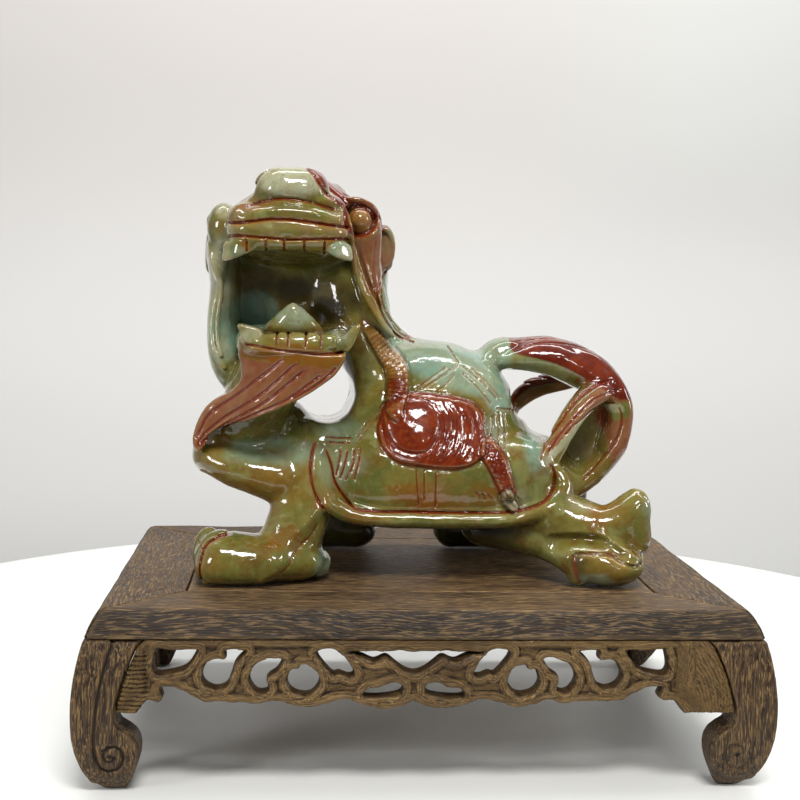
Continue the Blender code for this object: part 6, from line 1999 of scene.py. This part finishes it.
# ------------------------------------------------------------------ build
T_LO, T_HI = (-88, -56, -2.4), (92, 48, 156)
STEP = 0.4
ob, P, g, place = sculpted(
    "jade_turtle_carved", turtle_rough, turtle_mid, turtle_fine, T_LO, T_HI, STEP, 6,
    4, 192000,
    Matrix.Translation((SET_X, 0, BASE_Z)))
for key, val in stone_colours(P, g).items():
    paint(ob, key, val)
paint(ob, "bend", bends(*GROUND["jade_turtle_carved"], P, 6))
GROUND.clear()
seat(ob, P, g, place)
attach(ob, "root")
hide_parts("jade_turtle")
ob.data.materials.append(jade_material())
say("stone done")
stand_rails()
stand_panel()
stand_legs()
stand_aprons()
say("stand done")
# --------------------------------------------------- floor, light, camera
def area(name, loc, target, sx, sy, power, colour=(1, 1, 1)):
    la = bpy.data.lights.new(name, "AREA")
    la.shape = "RECTANGLE"
    la.size, la.size_y = sx, sy
    la.energy = power
    la.color = colour
    o = bpy.data.objects.new(name, la)
    bpy.context.scene.collection.objects.link(o)
    o.location = loc
    o.rotation_euler = (Vector(target) - Vector(loc)).to_track_quat("-Z", "Y").to_euler()
    return o


def turned(name, prof, centre, steps, mat):
    """Staged surface made by turning a profile about an upright axis."""
    vs, fs = [], []
    for i in range(steps):
        a = 2 * math.pi * i / steps
        for r, z in prof:
            vs.append((centre[0] + r * math.cos(a), centre[1] + r * math.sin(a), z))
    n = len(prof)
    for i in range(steps):
        j = (i + 1) % steps
        for k in range(n - 1):
            fs.append((i * n + k, i * n + k + 1, j * n + k + 1, j * n + k))
    me = bpy.data.meshes.new(name)
    me.from_pydata(vs, [], fs)
    for p in me.polygons:
        p.use_smooth = True
    ob = bpy.data.objects.new(name, me)
    bpy.context.scene.collection.objects.link(ob)
    me.materials.append(mat)
    return ob


def studio():
    # round white table top; its colour is brighter towards the front and darker from the stand backwards, a painted
    # pool of light
    m = Nodes("table")
    v = m.point()
    xyz = m.new("SeparateXYZ")
    m.put(xyz.inputs[0], v)
    near = m.ramp(xyz.outputs[1], 0.0, -0.16)
    m.put(m.bsdf.inputs["Base Color"], m.mix(m.noise(v, 9.0, 3.0), m.mix(near, (0.715, 0.73, 0.715, 1), (0.88, 0.89, 0.87, 1)),
                                             m.mix(near, (0.74, 0.75, 0.73, 1), (0.90, 0.905, 0.885, 1))))
    m.bsdf.inputs["Roughness"].default_value = 0.45
    prof = [(0.0005, 0.0), (0.1, 0.0), (0.2, 0.0), (0.29, 0.0), (0.303, -0.0005)]
    for i in range(1, 9):
        a = math.pi * i / 8
        prof.append((0.303 + 0.0065 * math.sin(a), -0.007 + 0.0065 * math.cos(a)))
    prof += [(0.29, -0.0135), (0.0005, -0.0135)]
    turned("floor", prof[::-1], (0.005, 0.079), 128, m.mat)
    # wall behind it, with painted shade: darker towards its foot, more so on the left, and darker again higher up
    me = bpy.data.meshes.new("wall")
    xs = [-3.0, -1.5, 0.0, 1.5, 3.0]
    zs = [-1.0, -0.5, 0.0, 0.5, 1.0, 2.2]
    vs = [(x, 1.05, z) for z in zs for x in xs]
    fs = [(r * 5 + c, r * 5 + c + 1, r * 5 + c + 6, r * 5 + c + 5) for r in range(5) for c in range(4)]
    me.from_pydata(vs, [], fs)
    wall = bpy.data.objects.new("wall", me)
    bpy.context.scene.collection.objects.link(wall)
    m = Nodes("wall")
    tc = m.new("TexCoord")
    xyz = m.new("SeparateXYZ")
    m.put(xyz.inputs[0], tc.outputs["Object"])
    z, x = xyz.outputs[2], xyz.outputs[0]
    tilt = m.math("MULTIPLY_ADD", x, -0.08, z)
    foot = m.mix(m.ramp(x, 0.0, 0.45), (0.82, 0.815, 0.795, 1), (0.95, 0.945, 0.925, 1))
    col = m.mix(m.ramp(tilt, -0.19, -0.04), foot, (0.94, 0.93, 0.905, 1))
    col = m.mix(m.ramp(z, 0.05, 0.40, 0, 1), col, (0.69, 0.66, 0.635, 1))
    col = m.mix(m.math("MULTIPLY", m.ramp(x, 0.12, 0.45), m.ramp(z, 0.18, 0.36)), col, (0.72, 0.725, 0.70, 1))
    m.put(m.bsdf.inputs["Base Color"], m.mix(m.noise(m.point(), 4.0), col, m.mix(0.06, col, (0.6, 0.6, 0.6, 1))))
    m.bsdf.inputs["Roughness"].default_value = 0.9
    m.bsdf.inputs["Specular IOR Level"].default_value = 0.1
    me.materials.append(m.mat)
    w = bpy.data.worlds.new("studio")
    bpy.context.scene.world = w
    w.use_nodes = True
    # a white room, darker behind the viewer
    t = w.node_tree
    bg = t.nodes["Background"]
    tc, xyz = t.nodes.new("ShaderNodeTexCoord"), t.nodes.new("ShaderNodeSeparateXYZ")
    rp = t.nodes.new("ShaderNodeMapRange")
    rp.interpolation_type = "SMOOTHSTEP"
    t.links.new(tc.outputs["Generated"], xyz.inputs[0])
    t.links.new(xyz.outputs[1], rp.inputs["Value"])
    rp.inputs["From Min"].default_value, rp.inputs["From Max"].default_value = -0.85, 0.05
    rp.inputs["To Min"].default_value, rp.inputs["To Max"].default_value = 0.12, 0.46
    t.links.new(rp.outputs["Result"], bg.inputs[1])
    bg.inputs[0].default_value = (0.97, 0.985, 1.0, 1)
    aim = (0, 0, 0.1)
    area("top", (0.06, -0.78, 1.05), aim, 0.42, 0.26, 13.5, (1, 0.985, 0.96))
    area("left", (-0.86, -0.60, 0.34), aim, 0.22, 0.28, 3.9, (1, 1, 1))
    area("front", (0.24, -0.90, 0.56), aim, 0.14, 0.10, 0.9, (1, 0.99, 0.97))
    area("right", (1.0, -0.08, 0.36), aim, 0.11, 0.34, 2.6, (1, 0.99, 0.97))
    area("wall wash", (0.2, 0.35, 1.35), (0.1, 1.05, 0.1), 1.8, 0.2, 16.2)


def camera():
    f, cx, cy, cz = 1353.3, -0.0437, -0.5210, 0.1739
    yaw, pitch, roll = math.radians(4.10), math.radians(5.26), math.radians(1.18)
    F = Vector((math.sin(yaw) * math.cos(pitch), math.cos(yaw) * math.cos(pitch),
                -math.sin(pitch)))
    R = Vector((math.cos(yaw), -math.sin(yaw), 0.0))
    U = R.cross(F)
    R2 = math.cos(roll) * R + math.sin(roll) * U
    U2 = -math.sin(roll) * R + math.cos(roll) * U
    cam = bpy.data.cameras.new("camera")
    cam.sensor_fit = "HORIZONTAL"
    cam.sensor_width = 36.0
    cam.lens = f / 800.0 * 36.0
    cam.clip_start = 0.01
    o = bpy.data.objects.new("camera", cam)
    bpy.context.scene.collection.objects.link(o)
    o.matrix_world = Matrix(((R2.x, U2.x, -F.x, cx), (R2.y, U2.y, -F.y, cy),
                             (R2.z, U2.z, -F.z, cz), (0, 0, 0, 1)))
    bpy.context.scene.camera = o


studio()
camera()
bpy.context.scene.view_settings.view_transform = "Standard"

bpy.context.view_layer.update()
say("ready")
